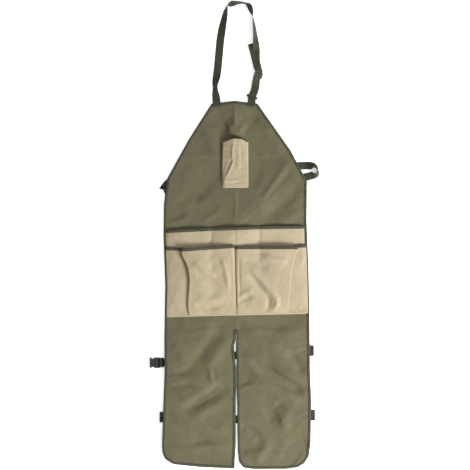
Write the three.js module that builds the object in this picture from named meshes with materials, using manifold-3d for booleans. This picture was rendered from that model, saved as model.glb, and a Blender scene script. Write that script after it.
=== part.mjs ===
// Long split-leg gardening apron, lying on its back with its front up.
// Millimetres. +X is to the viewer's right, +Y is towards the neck, +Z is up from the surface it lies on.
// The origin is the middle of the whole thing's footprint, on the surface.
import * as THREE from "three";
import { mergeVertices } from "three/addons/utils/BufferGeometryUtils.js";
import Module from "manifold-3d";

const wasm = await Module();
wasm.setup();

// ---------------------------------------------------------------- driving sizes
const CLOTH = 1.5; // body panel
const POCKET_CLOTH = 1.3; // tan pocket sheets
const TAPE = 1.0; // each layer of edge tape
const TAPE_WIDTH = 9; // how far the edge tape reaches in from the edge
const GAP = 0.3; // air kept between pieces that touch
const WEBBING = 25; // width of every strap
const WEBBING_THICK = 1.2;
const BUCKLE = { length: 58, width: 33.5, height: 6 }; // a closed buckle on 25 mm webbing
const CELL = 30; // size of the panel's facets
const SLACK = 3 * GAP; // air between the panel and each layer of the tape round its edge
const PANEL_LOW = TAPE + SLACK; // underside of the flat panel: the tape's lower layer is under its edge

// Body outline, counter-clockwise from the bib's left corner, at the outer edge of the tape. r rounds a corner.
const OUTLINE = [
  { x: -73.4, y: 420, r: 8 },
  { x: -147.4, y: 303.5, r: 0 },
  { x: -215.2, y: 180.3, r: 14 },
  { x: -225.8, y: 95.5, r: 0 },
  { x: -227, y: -3.7, r: 0 },
  { x: -221.3, y: -160.5, r: 0 },
  { x: -224.2, y: -320.5, r: 0 },
  { x: -223.5, y: -438.9, r: 0 },
  { x: -228, y: -560.5, r: 0 },
  { x: -231.8, y: -675.7, r: 0 },
  { x: -230.6, y: -704.5, r: 18 },
  { x: -203.7, y: -735.2, r: 16 },
  { x: -108.3, y: -742.9, r: 0 },
  { x: 0.5, y: -748, r: 0 },
  { x: 4.6, y: -694.9, r: 0 },
  { x: 4, y: -528.5, r: 0 },
  { x: 2.4, y: -309, r: 1.6 },
  { x: 11.4, y: -309, r: 1.6 },
  { x: 9.4, y: -528.5, r: 0 },
  { x: 12.3, y: -704.5, r: 0 },
  { x: 22.9, y: -747.4, r: 12 },
  { x: 182.6, y: -748, r: 0 },
  { x: 236.6, y: -736.5, r: 22 },
  { x: 246.2, y: -675.7, r: 10 },
  { x: 245.6, y: -528.5, r: 0 },
  { x: 241.8, y: -435.7, r: 0 },
  { x: 239.8, y: -240.5, r: 0 },
  { x: 237.3, y: -112.5, r: 0 },
  { x: 230.9, y: 47.5, r: 0 },
  { x: 232.2, y: 172.3, r: 14 },
  { x: 179.7, y: 269.9, r: 0 },
  { x: 74.1, y: 420, r: 8 },
  { x: 0.2, y: 428.6, r: 0 },
];

// ---------------------------------------------------------------- the lie of the cloth
// What lies under the panel lifts it: a flat band round each line from a to b, with sloping sides.
const LIFTS = [
  // height, half: half-width of the flat part, ramp: width of the slope
  { name: "waist belt, left", height: 2.0, half: 46, ramp: 70, a: [-199.8, 175.5], b: [5, 69.9] },
  { name: "waist belt, right", height: 2.0, half: 46, ramp: 70, a: [5, 69.9], b: [209.8, 169.1] },
  { name: "fold of the belt, left", height: 3.8, half: 44, ramp: 60, a: [-225.4, 156.3], b: [-180.6, 188.3] },
  { name: "waist buckle", height: 4.8, half: 62, ramp: 90, a: [-7.8, 66.7], b: [11.4, 66.7] },
  { name: "thigh strap, left", height: 2.0, half: 46, ramp: 60, a: [-231.8, -403.7], b: [-1.4, -384.5] },
  { name: "thigh clip, left", height: 4.8, half: 52, ramp: 80, a: [-155, -400.5], b: [-135.8, -400.5] },
  { name: "thigh strap, right", height: 2.0, half: 46, ramp: 60, a: [11.4, -384.5], b: [241.8, -371.7] },
  { name: "thigh buckle, right", height: 6.8, half: 52, ramp: 80, a: [209.8, -371.7], b: [280.2, -371.7] },
  { name: "calf strap, left", height: 2.0, half: 46, ramp: 60, a: [-225.4, -582.9], b: [-1.4, -589.3] },
  { name: "calf buckle, left", height: 6.8, half: 52, ramp: 80, a: [-263.8, -582.9], b: [-199.8, -582.9] },
  { name: "calf strap, right", height: 2.0, half: 46, ramp: 60, a: [11.4, -589.3], b: [241.8, -576.5] },
  { name: "calf buckle, right", height: 6.8, half: 52, ramp: 80, a: [216.2, -576.5], b: [286.6, -576.5] },
];

// Soft folds of the panel: a ridge (height above 0) or a step in it along the line from a to b.
const FOLDS = [
  { name: "ridge from the belt buckle to the armhole", height: 3.2, half: 34, a: [11.4, 41.1], b: [165, 233.1] },
  { name: "tent above the chest pocket", height: 2.4, half: 40, a: [-1.4, 393.1], b: [5, 335.5] },
  { name: "fold at the left hip", height: 2.4, half: 34, a: [-187, 41.1], b: [-123, 73.1] },
  { name: "cross fold of the left leg", height: 3.0, half: 36, a: [-174.2, -474.1], b: [-39.8, -470.9] },
  { name: "cross fold of the right leg", height: 2.6, half: 36, a: [56.2, -483.7], b: [197, -502.9] },
  { name: "low fold of the left leg", height: 2.2, half: 36, a: [-180.6, -675.7], b: [-39.8, -678.9] },
];

function lineDistance(x, y, a, b) {
  const dx = b[0] - a[0],
    dy = b[1] - a[1];
  const t = THREE.MathUtils.clamp(
    ((x - a[0]) * dx + (y - a[1]) * dy) / (dx * dx + dy * dy || 1),
    0,
    1,
  );
  return Math.hypot(x - a[0] - t * dx, y - a[1] - t * dy);
}

// Height of the cloth above its flat place, at any point of the footprint.
function lie(x, y) {
  let lift = 0;
  for (const r of LIFTS) {
    const d = lineDistance(x, y, r.a, r.b);
    lift = Math.max(
      lift,
      r.height * (1 - THREE.MathUtils.smoothstep(d, r.half, r.half + r.ramp)),
    );
  }
  let fold = 0;
  for (const r of FOLDS) {
    const d = lineDistance(x, y, r.a, r.b);
    fold = Math.max(fold, r.height * Math.exp(-((d / r.half) ** 2)));
  }
  return lift + fold;
}

// The same height as the panel's facets give it: linear over each half of a grid cell.
function facetLie(x, y) {
  const i = Math.floor(x / CELL),
    j = Math.floor(y / CELL);
  const u = x / CELL - i,
    v = y / CELL - j;
  const h = (a, b) => lie((i + a) * CELL, (j + b) * CELL);
  return u >= v
    ? h(0, 0) * (1 - u) + h(1, 0) * (u - v) + h(1, 1) * v
    : h(0, 0) * (1 - v) + h(0, 1) * (v - u) + h(1, 1) * u;
}
const panelTop = (x, y) => PANEL_LOW + CLOTH + facetLie(x, y);


// ---------------------------------------------------------------- solids
function solidOf(geometry) {
  const g = geometry.clone();
  for (const n of ["normal", "uv"]) g.deleteAttribute(n);
  const m = mergeVertices(g, 1e-4);
  return new wasm.Manifold(
    new wasm.Mesh({
      numProp: 3,
      vertProperties: new Float32Array(m.attributes.position.array),
      triVerts: new Uint32Array(m.index.array),
    }),
  );
}
function geometryOf(solid) {
  const m = solid.getMesh();
  const g = new THREE.BufferGeometry();
  g.setAttribute(
    "position",
    new THREE.BufferAttribute(new Float32Array(m.vertProperties), 3),
  );
  g.setIndex(new THREE.BufferAttribute(new Uint32Array(m.triVerts), 1));
  g.computeVertexNormals();
  return g;
}
function geometryFrom(points, faces) {
  const g = new THREE.BufferGeometry();
  g.setAttribute(
    "position",
    new THREE.Float32BufferAttribute(points.flatMap((p) => [p.x, p.y, p.z]), 3),
  );
  g.setIndex(faces.flat());
  g.computeVertexNormals();
  return g;
}

// A solid through sections that are closed loops of the same number of points.
// cap lists the triangles of one loop; ring joins the last section to the first.
// flipped lists the sides whose diagonals run the other way, so that both faces of a thin twisted strip bend alike.
function loft(sections, cap, ring = false, flipped = []) {
  const n = sections[0].length,
    faces = [];
  const last = ring ? sections.length : sections.length - 1;
  for (let s = 0; s < last; s++) {
    const a = s * n,
      b = ((s + 1) % sections.length) * n;
    for (let i = 0; i < n; i++) {
      const j = (i + 1) % n;
      if (flipped.includes(i)) faces.push([a + i, b + i, a + j], [b + i, b + j, a + j]);
      else faces.push([a + i, b + i, b + j], [a + i, b + j, a + j]);
    }
  }
  if (!ring) {
    const e = (sections.length - 1) * n;
    for (const [i, j, k] of cap) {
      faces.push([i, j, k], [e + k, e + j, e + i]);
    }
  }
  const g = geometryFrom(sections.flat(), faces);
  const m = volume(g);
  return m < 0
    ? geometryFrom(
        sections.flat(),
        faces.map(([i, j, k]) => [k, j, i]),
      )
    : g;
}
function volume(g) {
  const p = g.attributes.position,
    a = new THREE.Vector3(),
    b = new THREE.Vector3(),
    c = new THREE.Vector3();
  let v = 0;
  for (let i = 0; i < g.index.count; i += 3) {
    a.fromBufferAttribute(p, g.index.getX(i));
    b.fromBufferAttribute(p, g.index.getX(i + 1));
    c.fromBufferAttribute(p, g.index.getX(i + 2));
    v += a.dot(b.cross(c)) / 6;
  }
  return v;
}
// Caps of a thickened line of n points: a loop of n upper points, then n lower ones backwards.
const stripCap = (n) =>
  Array.from({ length: n - 1 }, (_, i) => [
    [i, i + 1, 2 * n - 2 - i],
    [i, 2 * n - 2 - i, 2 * n - 1 - i],
  ]).flat();

// A line of cloth seen end on, {x, z} at one y, thickened to a loop.
function thicken(line, thick) {
  const up = [],
    low = [];
  line.forEach((p, i) => {
    const a = line[Math.max(0, i - 1)],
      b = line[Math.min(line.length - 1, i + 1)];
    const n1 = i ? normalXZ(a, p) : normalXZ(p, b),
      n2 = i < line.length - 1 ? normalXZ(p, b) : n1;
    let nx = n1[0] + n2[0],
      nz = n1[1] + n2[1];
    const l = Math.hypot(nx, nz) || 1;
    nx /= l;
    nz /= l;
    const k = (thick / 2) * Math.min(2.2, 1 / Math.max(0.2, nx * n1[0] + nz * n1[1]));
    up.push(new THREE.Vector3(p.x + nx * k, p.y, p.z + nz * k));
    low.push(new THREE.Vector3(p.x - nx * k, p.y, p.z - nz * k));
  });
  return [...up, ...low.reverse()];
}
function normalXZ(a, b) {
  const l = Math.hypot(b.x - a.x, b.z - a.z) || 1;
  return [-(b.z - a.z) / l, (b.x - a.x) / l];
}
// A pocket sheet through lines of cloth, from its mouth down to its bottom.
const sheet = (lines, thick) =>
  loft(
    lines.map((l) => thicken(l, thick)),
    stripCap(lines[0].length),
  );

// Edge tape, a U in section, round the mouth of a sheet: from its edge line down to its next line.
function mouthTape([edgeLine, nextLine], thick) {
  const inner = thick + 2 * GAP,
    outer = inner + 2 * TAPE,
    n = edgeLine.length;
  const o = thicken(edgeLine, outer),
    i = thicken(edgeLine, inner),
    oo = thicken(nextLine, outer),
    ii = thicken(nextLine, inner);
  const up = (p, d) => new THREE.Vector3(p.x, p.y + d, p.z);
  const sections = edgeLine.map((_, k) => {
    const m = 2 * n - 1 - k;
    return [
      oo[k],
      up(o[k], GAP + TAPE),
      up(o[m], GAP + TAPE),
      oo[m],
      ii[m],
      up(i[m], GAP),
      up(i[k], GAP),
      ii[k],
    ];
  });
  return loft(sections, U_CAP);
}
const U_CAP = [
  [0, 1, 6],
  [0, 6, 7],
  [1, 2, 5],
  [1, 5, 6],
  [2, 3, 4],
  [2, 4, 5],
];

// A strap through the rows of a short table. tilt turns it about its length, in degrees: 0 lies flat, 90 stands on edge.
// z is the height of its lowest edge.
function ribbon(rows, width = WEBBING, thick = WEBBING_THICK) {
  const centre = rows.map((r) => {
    if (r.at) return r.at;
    const t = THREE.MathUtils.degToRad(r.tilt ?? 0);
    const half =
      (width / 2) * Math.abs(Math.sin(t)) + (thick / 2) * Math.abs(Math.cos(t));
    return new THREE.Vector3(r.x, r.y, r.z + half);
  });
  let before = null;
  const sections = rows.map((r, i) => {
    const way = centre[Math.min(rows.length - 1, i + 1)]
      .clone()
      .sub(centre[Math.max(0, i - 1)])
      .normalize();
    let side = r.side
      ? r.side.clone()
      : new THREE.Vector3(way.y, -way.x, 0).normalize();
    if (before && side.dot(before) < 0) side.negate();
    before = side;
    const face = side.clone().cross(way).normalize();
    const t = THREE.MathUtils.degToRad(r.at ? 0 : (r.tilt ?? 0));
    const s = side.clone().multiplyScalar(Math.cos(t)).addScaledVector(face, Math.sin(t));
    const f = face.clone().multiplyScalar(Math.cos(t)).addScaledVector(side, -Math.sin(t));
    const w = r.width ?? width;
    return [
      [1, 1],
      [-1, 1],
      [-1, -1],
      [1, -1],
    ].map(([u, v]) =>
      centre[i]
        .clone()
        .addScaledVector(s, (u * w) / 2)
        .addScaledVector(f, (v * thick) / 2),
    );
  });
  const cap = [
    [0, 1, 2],
    [0, 2, 3],
  ];
  return loft(sections, cap, false, [2]);
}

// A block between two corners, as a closed mesh.
const block = (x0, x1, y0, y1, z0, z1) =>
  new THREE.BoxGeometry(x1 - x0, y1 - y0, z1 - z0).translate(
    (x0 + x1) / 2,
    (y0 + y1) / 2,
    (z0 + z1) / 2,
  );
const cut = (body, ...tools) =>
  geometryOf(tools.reduce((s, t) => s.subtract(solidOf(t)), solidOf(body)));
const join = (first, ...others) =>
  geometryOf(others.reduce((s, t) => s.add(solidOf(t)), solidOf(first)));
// A plate with rounded corners, lying flat.
function plate(width, height, radius, thick, holes = []) {
  const w = width / 2,
    h = height / 2,
    shape = new THREE.Shape();
  shape.moveTo(-w + radius, -h);
  shape.lineTo(w - radius, -h);
  shape.absarc(w - radius, -h + radius, radius, -Math.PI / 2, 0);
  shape.lineTo(w, h - radius);
  shape.absarc(w - radius, h - radius, radius, 0, Math.PI / 2);
  shape.lineTo(-w + radius, h);
  shape.absarc(-w + radius, h - radius, radius, Math.PI / 2, Math.PI);
  shape.lineTo(-w, -h + radius);
  shape.absarc(-w + radius, -h + radius, radius, Math.PI, 1.5 * Math.PI);
  for (const [cx, cy, hw, hh] of holes) {
    const p = new THREE.Path();
    p.moveTo(cx - hw / 2, cy - hh / 2);
    p.lineTo(cx - hw / 2, cy + hh / 2);
    p.lineTo(cx + hw / 2, cy + hh / 2);
    p.lineTo(cx + hw / 2, cy - hh / 2);
    p.closePath();
    shape.holes.push(p);
  }
  return new THREE.ExtrudeGeometry(shape, {
    depth: thick,
    bevelEnabled: false,
    curveSegments: 3,
  });
}

// ---------------------------------------------------------------- outline
// The outline with its corners rounded, and long stretches split where they cross the panel's grid if split is true.
function outlinePoints(split) {
  const round = [];
  OUTLINE.forEach((p, i) => {
    const a = OUTLINE[(i + OUTLINE.length - 1) % OUTLINE.length],
      b = OUTLINE[(i + 1) % OUTLINE.length];
    if (!p.r) return round.push(new THREE.Vector2(p.x, p.y));
    const u = new THREE.Vector2(a.x - p.x, a.y - p.y).normalize(),
      v = new THREE.Vector2(b.x - p.x, b.y - p.y).normalize();
    const half = Math.acos(THREE.MathUtils.clamp(u.dot(v), -1, 1)) / 2;
    const back = p.r / Math.tan(half);
    const centre = u
      .clone()
      .add(v)
      .normalize()
      .multiplyScalar(p.r / Math.sin(half))
      .add(new THREE.Vector2(p.x, p.y));
    const s = new THREE.Vector2(p.x, p.y).addScaledVector(u, back),
      e = new THREE.Vector2(p.x, p.y).addScaledVector(v, back);
    const a0 = Math.atan2(s.y - centre.y, s.x - centre.x);
    let turn = Math.atan2(e.y - centre.y, e.x - centre.x) - a0;
    turn = Math.atan2(Math.sin(turn), Math.cos(turn));
    const parts = Math.max(2, Math.ceil(Math.abs(turn) / 0.4));
    for (let k = 0; k <= parts; k++) {
      const t = a0 + (turn * k) / parts;
      round.push(
        new THREE.Vector2(
          centre.x + p.r * Math.cos(t),
          centre.y + p.r * Math.sin(t),
        ),
      );
    }
  });
  const points = [];
  round.forEach((p, i) => {
    const q = round[(i + 1) % round.length];
    points.push(p.clone());
    if (!split) return;
    const axis = Math.abs(q.y - p.y) > Math.abs(q.x - p.x) ? "y" : "x";
    const lines = [];
    for (let k = -40; k <= 40; k++) {
      const t = (k * CELL - p[axis]) / (q[axis] - p[axis]);
      if (t > 0.08 && t < 0.92) lines.push(t);
    }
    lines.sort((a, b) => a - b);
    for (const t of lines) points.push(p.clone().lerp(q, t));
  });
  return points;
}
function inset(points, d) {
  return points.map((p, i) => {
    const a = points[(i + points.length - 1) % points.length],
      b = points[(i + 1) % points.length];
    const n1 = new THREE.Vector2(-(p.y - a.y), p.x - a.x).normalize(),
      n2 = new THREE.Vector2(-(b.y - p.y), b.x - p.x).normalize();
    const m = n1.clone().add(n2).normalize();
    return p.clone().addScaledVector(m, d / Math.max(0.5, m.dot(n1)));
  });
}


// ---------------------------------------------------------------- body panel and its edge tape
const edge = outlinePoints(true);

function bodyPanel() {
  const cols = [-9, 9],
    rows = [-26, 16],
    points = [],
    faces = [];
  const nx = cols[1] - cols[0] + 1,
    ny = rows[1] - rows[0] + 1;
  for (const up of [0, 1])
    for (let j = rows[0]; j <= rows[1]; j++)
      for (let i = cols[0]; i <= cols[1]; i++) {
        const x = i * CELL,
          y = j * CELL;
        points.push(
          new THREE.Vector3(x, y, PANEL_LOW + lie(x, y) + (up ? CLOTH : 0)),
        );
      }
  const at = (up, i, j) => up * nx * ny + j * nx + i;
  for (let j = 0; j < ny - 1; j++)
    for (let i = 0; i < nx - 1; i++) {
      const q = (up) => [
        at(up, i, j),
        at(up, i + 1, j),
        at(up, i + 1, j + 1),
        at(up, i, j + 1),
      ];
      const [a, b, c, d] = q(1),
        [e, f, g, h] = q(0);
      faces.push([a, b, c], [a, c, d], [e, g, f], [e, h, g]);
    }
  const wall = (i0, j0, i1, j1) => {
    const a = at(0, i0, j0),
      b = at(0, i1, j1),
      c = at(1, i1, j1),
      d = at(1, i0, j0);
    faces.push([a, b, c], [a, c, d]);
  };
  for (let i = 0; i < nx - 1; i++) {
    wall(i, 0, i + 1, 0);
    wall(i + 1, ny - 1, i, ny - 1);
  }
  for (let j = 0; j < ny - 1; j++) {
    wall(0, j + 1, 0, j);
    wall(nx - 1, j, nx - 1, j + 1);
  }
  const shape = new THREE.Shape(inset(outlinePoints(false), TAPE + GAP));
  const prism = new THREE.ExtrudeGeometry(shape, {
    depth: 60,
    bevelEnabled: false,
  }).translate(0, 0, -5);
  return geometryOf(solidOf(geometryFrom(points, faces)).intersect(solidOf(prism)));
}

// U in section: under the panel, round its edge and over its front.
function edgeBinding() {
  const z0 = 0,
    z1 = TAPE,
    z2 = PANEL_LOW + CLOTH + SLACK,
    z3 = z2 + TAPE;
  const out = edge,
    wall = inset(edge, TAPE),
    deep = inset(edge, TAPE_WIDTH);
  const at = (p, z) => new THREE.Vector3(p.x, p.y, z + facetLie(p.x, p.y));
  return loft(
    out.map((_, i) => [
      at(deep[i], z0),
      at(out[i], z0),
      at(out[i], z3),
      at(deep[i], z3),
      at(deep[i], z2),
      at(wall[i], z2),
      at(wall[i], z1),
      at(deep[i], z1),
    ]),
    null,
    true,
  );
}

// Where the outline crosses a height y, on the left (-1) or right (1) side of the body.
function edgeX(y, side) {
  let found = 0;
  edge.forEach((p, i) => {
    const q = edge[(i + 1) % edge.length];
    if ((p.y - y) * (q.y - y) > 0 || p.y === q.y) return;
    const x = p.x + ((y - p.y) * (q.x - p.x)) / (q.y - p.y);
    if (side * x > side * found) found = x;
  });
  return found;
}

// ---------------------------------------------------------------- tan pockets on the skirt
const POCKET_BOTTOM = -258;
const UPPER_MOUTH = [{ x: -214.2, y: 15.2 }, { x: -73.8, y: 22.2 }, { x: -1.4, y: 23.8 }, { x: 77.6, y: 27.4 }, { x: 221.6, y: 29 }];
const COMPARTMENTS = [-74, 80]; // stitched lines between the upper pocket's three compartments
const UPPER_BULGE = 6.4; // how far each compartment's mouth stands off the panel

function along(table, x) {
  for (let i = 1; i < table.length; i++)
    if (x <= table[i].x || i === table.length - 1) {
      const a = table[i - 1],
        b = table[i];
      return a.y + ((x - a.x) / (b.x - a.x)) * (b.y - a.y);
    }
}
const sideGap = TAPE_WIDTH + SLACK;
const HEM = 8; // depth of the tape on a pocket's mouth
const MOUTH_CLEAR = 1.8; // extra air under a mouth for its tape
function upperBulge(x, y) {
  const l = edgeX(y, -1) + sideGap,
    r = edgeX(y, 1) - sideGap;
  const walls = [l, ...COMPARTMENTS, r];
  const k = walls.findIndex((w, i) => i < 3 && x <= walls[i + 1]);
  const u = THREE.MathUtils.clamp(
    (x - walls[Math.max(0, k)]) / (walls[Math.max(0, k) + 1] - walls[Math.max(0, k)]),
    0,
    1,
  );
  const down = THREE.MathUtils.clamp((along(UPPER_MOUTH, x) - y) / 250, 0, 1);
  return UPPER_BULGE * Math.sin(Math.PI * u) * Math.cos((Math.PI / 2) * down);
}
function upperMid(x, y) {
  const below = along(UPPER_MOUTH, x) - y;
  const clear = MOUTH_CLEAR * (1 - THREE.MathUtils.smoothstep(below, HEM + 2, 44));
  return panelTop(x, y) + 2 * GAP + POCKET_CLOTH / 2 + upperBulge(x, y) + clear;
}

// The upper pocket's cloth end on at a share t of the way from its mouth (0) to its bottom (1).
function upperLine(t) {
  const line = [];
  const stops = (l, r) => {
    const walls = [l, ...COMPARTMENTS, r],
      xs = [];
    for (let k = 0; k < 3; k++)
      for (let i = 0; i < 6; i++)
        xs.push(walls[k] + ((walls[k + 1] - walls[k]) * i) / 6);
    return [...xs, r];
  };
  const yMid = THREE.MathUtils.lerp(22, POCKET_BOTTOM, t);
  for (const x of stops(edgeX(yMid, -1) + sideGap, edgeX(yMid, 1) - sideGap)) {
    const y = THREE.MathUtils.lerp(along(UPPER_MOUTH, x) - TAPE - GAP, POCKET_BOTTOM, t);
    line.push(new THREE.Vector3(x, y, upperMid(x, y)));
  }
  return line;
}

// Lower pockets. fold: x of the pleat's edge; low, top: heights of that edge above the upper pocket;
// clear: air beneath the cloth; belly: fullness of the front; gusset: extra height of the mouth at the outer edge.
const LOWER_LEFT = [
  { y: -44.5, fold: -168, clear: 3.6, low: 8.6, top: 14, belly: 1, gusset: 4 },
  { y: -53, fold: -168, clear: 3.6, low: 8.6, top: 14, belly: 1, gusset: 4 },
  { y: -66, fold: -166, clear: 2.8, low: 7.6, top: 13, belly: 1, gusset: 0 },
  { y: -100, fold: -150.6, clear: 2.4, low: 5.6, top: 10.5, belly: 1, gusset: 0 },
  { y: -145, fold: -143.5, clear: 2.2, low: 4.6, top: 8.5, belly: 0.95, gusset: 0 },
  { y: -222, fold: -148.6, clear: 2.0, low: 2.6, top: 5.2, belly: 0.7, gusset: 0 },
  { y: -257, fold: -144, clear: 1.8, low: 1.9, top: 3.8, belly: 0, gusset: 0 },
];
const LOWER_RIGHT = [
  { y: -37, fold: 201.5, clear: 3.6, low: 8.6, top: 14, belly: 1, gusset: 6 },
  { y: -45.5, fold: 201.5, clear: 3.6, low: 8.6, top: 14, belly: 1, gusset: 6 },
  { y: -60, fold: 197, clear: 2.8, low: 7.6, top: 13, belly: 1, gusset: 0 },
  { y: -100, fold: 187, clear: 2.4, low: 5.6, top: 10.5, belly: 1, gusset: 0 },
  { y: -145, fold: 181, clear: 2.2, low: 4.6, top: 8.5, belly: 0.95, gusset: 0 },
  { y: -222, fold: 173, clear: 2.0, low: 2.6, top: 5.2, belly: 0.7, gusset: 0 },
  { y: -257, fold: 170.5, clear: 1.8, low: 1.9, top: 3.8, belly: 0, gusset: 0 },
];
const DIVIDER = 0.8; // x of the seam between the two lower pockets
const TUCK = 9; // how far the pleat runs back under the front

function lowerLine(row, side) {
  const outer = edgeX(row.y, side) - side * (sideGap + GAP),
    inner = DIVIDER + side * 1.4,
    turn = row.fold - side * TUCK,
    w = inner - row.fold;
  const rise = Math.min(4.4, row.low * 0.55);
  const p = (x, z, dy = 0) =>
    new THREE.Vector3(x, row.y + dy, upperMid(x, row.y) + POCKET_CLOTH / 2 + row.clear + z);
  return [
    p(outer, 0, row.gusset),
    p((outer + turn) / 2, 0, row.gusset * 0.8),
    p(turn, 0, row.gusset * 0.6),
    p(turn, Math.max(rise, 1.65), row.gusset * 0.4),
    p(row.fold, row.low),
    p(row.fold, row.top),
    p(row.fold + w * 0.18, row.top * (0.85 + 0.27 * row.belly), 0),
    p(row.fold + w * 0.45, row.top * 0.95 * row.belly),
    p(row.fold + w * 0.72, row.top * 0.5 * row.belly),
    p(row.fold + w * 0.92, row.top * 0.1 * row.belly),
    p(inner, 0),
  ];
}
const lowerLines = (table, side) => {
  const lines = table.map((r) => lowerLine(r, side));
  return side < 0 ? lines : lines.map((l) => l.reverse());
};

// ---------------------------------------------------------------- chest pocket
// left, right: its sides; height: of the corners above the bib; ridge: x of the crease; crest: height there; peak: how far the mouth rises at the crease
const CHEST = [
  { y: 296, left: -36.8, right: 43.8, height: 15, ridge: -7, crest: 19, peak: 13 },
  { y: 270, left: -38.2, right: 44, height: 15, ridge: -6.4, crest: 19, peak: 4 },
  { y: 232, left: -38.8, right: 44.2, height: 13, ridge: -6, crest: 17, peak: 0 },
  { y: 198, left: -40, right: 44.4, height: 10, ridge: -22, crest: 13, peak: 0 },
  { y: 170, left: -38.8, right: 44.6, height: 6, ridge: -30, crest: 7, peak: 0 },
  { y: 156, left: -37.4, right: 44, height: 2.6, ridge: -30, crest: 2.8, peak: 0 },
  { y: 150.4, left: -36.6, right: 43.4, height: 0.6, ridge: -30, crest: 0.6, peak: 0 },
];
function chestLine(row) {
  const p = (x, z, dy = 0) =>
    new THREE.Vector3(x, row.y + dy, panelTop(x, row.y + dy) + 0.9 + POCKET_CLOTH / 2 + z);
  const { left, right, height: h, ridge, crest, peak } = row;
  return [
    p(left, 0),
    p(left + 0.6, h * 0.75),
    p(left + 3, h),
    p(ridge, crest, peak),
    p(ridge + 24, crest * 0.98, peak * 0.85),
    p(right - 3, h),
    p(right - 0.6, h * 0.75),
    p(right, 0),
  ];
}


// ---------------------------------------------------------------- neck strap, slider and ring
// A flat place in space: heading of travel and tilt about it, in degrees.
function place(x, y, z, heading, tilt = 0) {
  const h = THREE.MathUtils.degToRad(heading),
    t = THREE.MathUtils.degToRad(tilt);
  const a = new THREE.Vector3(Math.cos(h), Math.sin(h), 0);
  const side = new THREE.Vector3(a.y, -a.x, 0),
    face = side.clone().cross(a);
  const s = side.clone().multiplyScalar(Math.cos(t)).addScaledVector(face, Math.sin(t));
  const f = face.clone().multiplyScalar(Math.cos(t)).addScaledVector(side, -Math.sin(t));
  const o = new THREE.Vector3(x, y, z);
  return { o, a, s, f, at: (u, off) => o.clone().addScaledVector(a, u).addScaledVector(f, off) };
}
const put = (geometry, p) =>
  geometry.applyMatrix4(new THREE.Matrix4().makeBasis(p.s, p.a, p.f).setPosition(p.o));

const SLIDER = { width: 31, length: 23.2, bar: 3.2, thick: 2, ends: 2.4 };
const SLIDER_AT = place(76.0, 510.6, 11.8, 250, 28);
const RING = { width: 36, length: 16.4, bar: 2.8, thick: 2.8 };
const RING_AT = place(56.6, 441.6, 4.1, 250);
const UNDER = SLIDER.thick / 2 + GAP + WEBBING_THICK / 2; // webbing against a bar of the slider
const STEP = WEBBING_THICK + GAP; // from one layer of webbing to the next
const ROUND = RING.thick * 0.72 + GAP + WEBBING_THICK / 2; // webbing round a bar of the ring
const RING_BAR = (RING.length - RING.bar) / 2; // from the ring's middle to each of its bars

// Through the slider: under the near bar, over the middle one, under the far one.
const threaded = (low, shift) =>
  [
    [-13, low],
    [-8.0 + shift, low],
    [-3.4 + shift, low + 2 * UNDER + STEP],
    [3.4 - shift, low + 2 * UNDER + STEP],
    [8.0 - shift, low],
    [13, low],
  ].map(([u, off]) => ({ at: SLIDER_AT.at(u, off), side: SLIDER_AT.s }));
// Round the ring's upper bar, from below to above.
const roundBar = (place, u, from, dir) =>
  [-90, -45, 0, 45, 90].map((deg) => {
    const t = THREE.MathUtils.degToRad(deg);
    return {
      at: place.at(u + dir * ROUND * Math.cos(t), from * ROUND * Math.sin(t)),
      side: place.s,
    };
  });

// z is the height of the lowest edge, tilt turns the strap about its length.
const NECK = [
  { x: -56.2, y: 416.8, z: 6.8, tilt: 0 },
  { x: -57.1, y: 426.4, z: 6.8, tilt: 0 },
  { x: -58.4, y: 441.1, z: 3, tilt: 8 },
  { x: -61, y: 460.3, z: 0.4, tilt: 44 },
  { x: -61.6, y: 474.7, z: 0.4, tilt: 50 },
  { x: -60.3, y: 489.1, z: 0.4, tilt: 32 },
  { x: -56.2, y: 511.5, z: 0.4, tilt: 8 },
  { x: -52.6, y: 540.3, z: 0.4, tilt: 0 },
  { x: -49.1, y: 578.7, z: 0.4, tilt: 0 },
  { x: -45.3, y: 620.3, z: 0.4, tilt: 4 },
  { x: -39.8, y: 655.5, z: 0.4, tilt: 16 },
  { x: -35.4, y: 677.9, z: 0.4, tilt: 32 },
  { x: -31.2, y: 698.7, z: 0.4, tilt: 42 },
  { x: -27.4, y: 716.3, z: 0.4, tilt: 60 },
  { x: -23.8, y: 729.8, z: 0.4, tilt: 78 },
  { x: -18.7, y: 737.4, z: 0.4, tilt: 102 },
  { x: -9.8, y: 738.7, z: 0.4, tilt: 134 },
  { x: 5, y: 741, z: 0.4, tilt: 117 },
  { x: 21, y: 741.9, z: 0.4, tilt: 103 },
  { x: 35, y: 740, z: 0.4, tilt: 98 },
  { x: 45.3, y: 734.9, z: 0.4, tilt: 122 },
  { x: 51, y: 724, z: 0.4, tilt: 128 },
  { x: 55.8, y: 710.6, z: 0.4, tilt: 112 },
  { x: 59, y: 697.1, z: 0.4, tilt: 88 },
  { x: 63.2, y: 668.3, z: 0.4, tilt: 69 },
  { x: 66.4, y: 639.5, z: 0.4, tilt: 58 },
  { x: 68.6, y: 612.3, z: 0.4, tilt: 36 },
  { x: 69.3, y: 588.3, z: 0.4, tilt: 12 },
  { x: 69.3, y: 562.7, z: 0.4, tilt: 4 },
  { x: 72.8, y: 537.1, z: 3.2, tilt: 20 },
];
const TAIL = [
  { x: 74.4, y: 535.8, z: 5.6, tilt: -18 },
  { x: 67.7, y: 561.1, z: 3.6, tilt: -5 },
  { x: 61.9, y: 585.1, z: 3.2, tilt: -6 },
  { x: 55.2, y: 608.8, z: 3.6, tilt: -10 },
];
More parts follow.
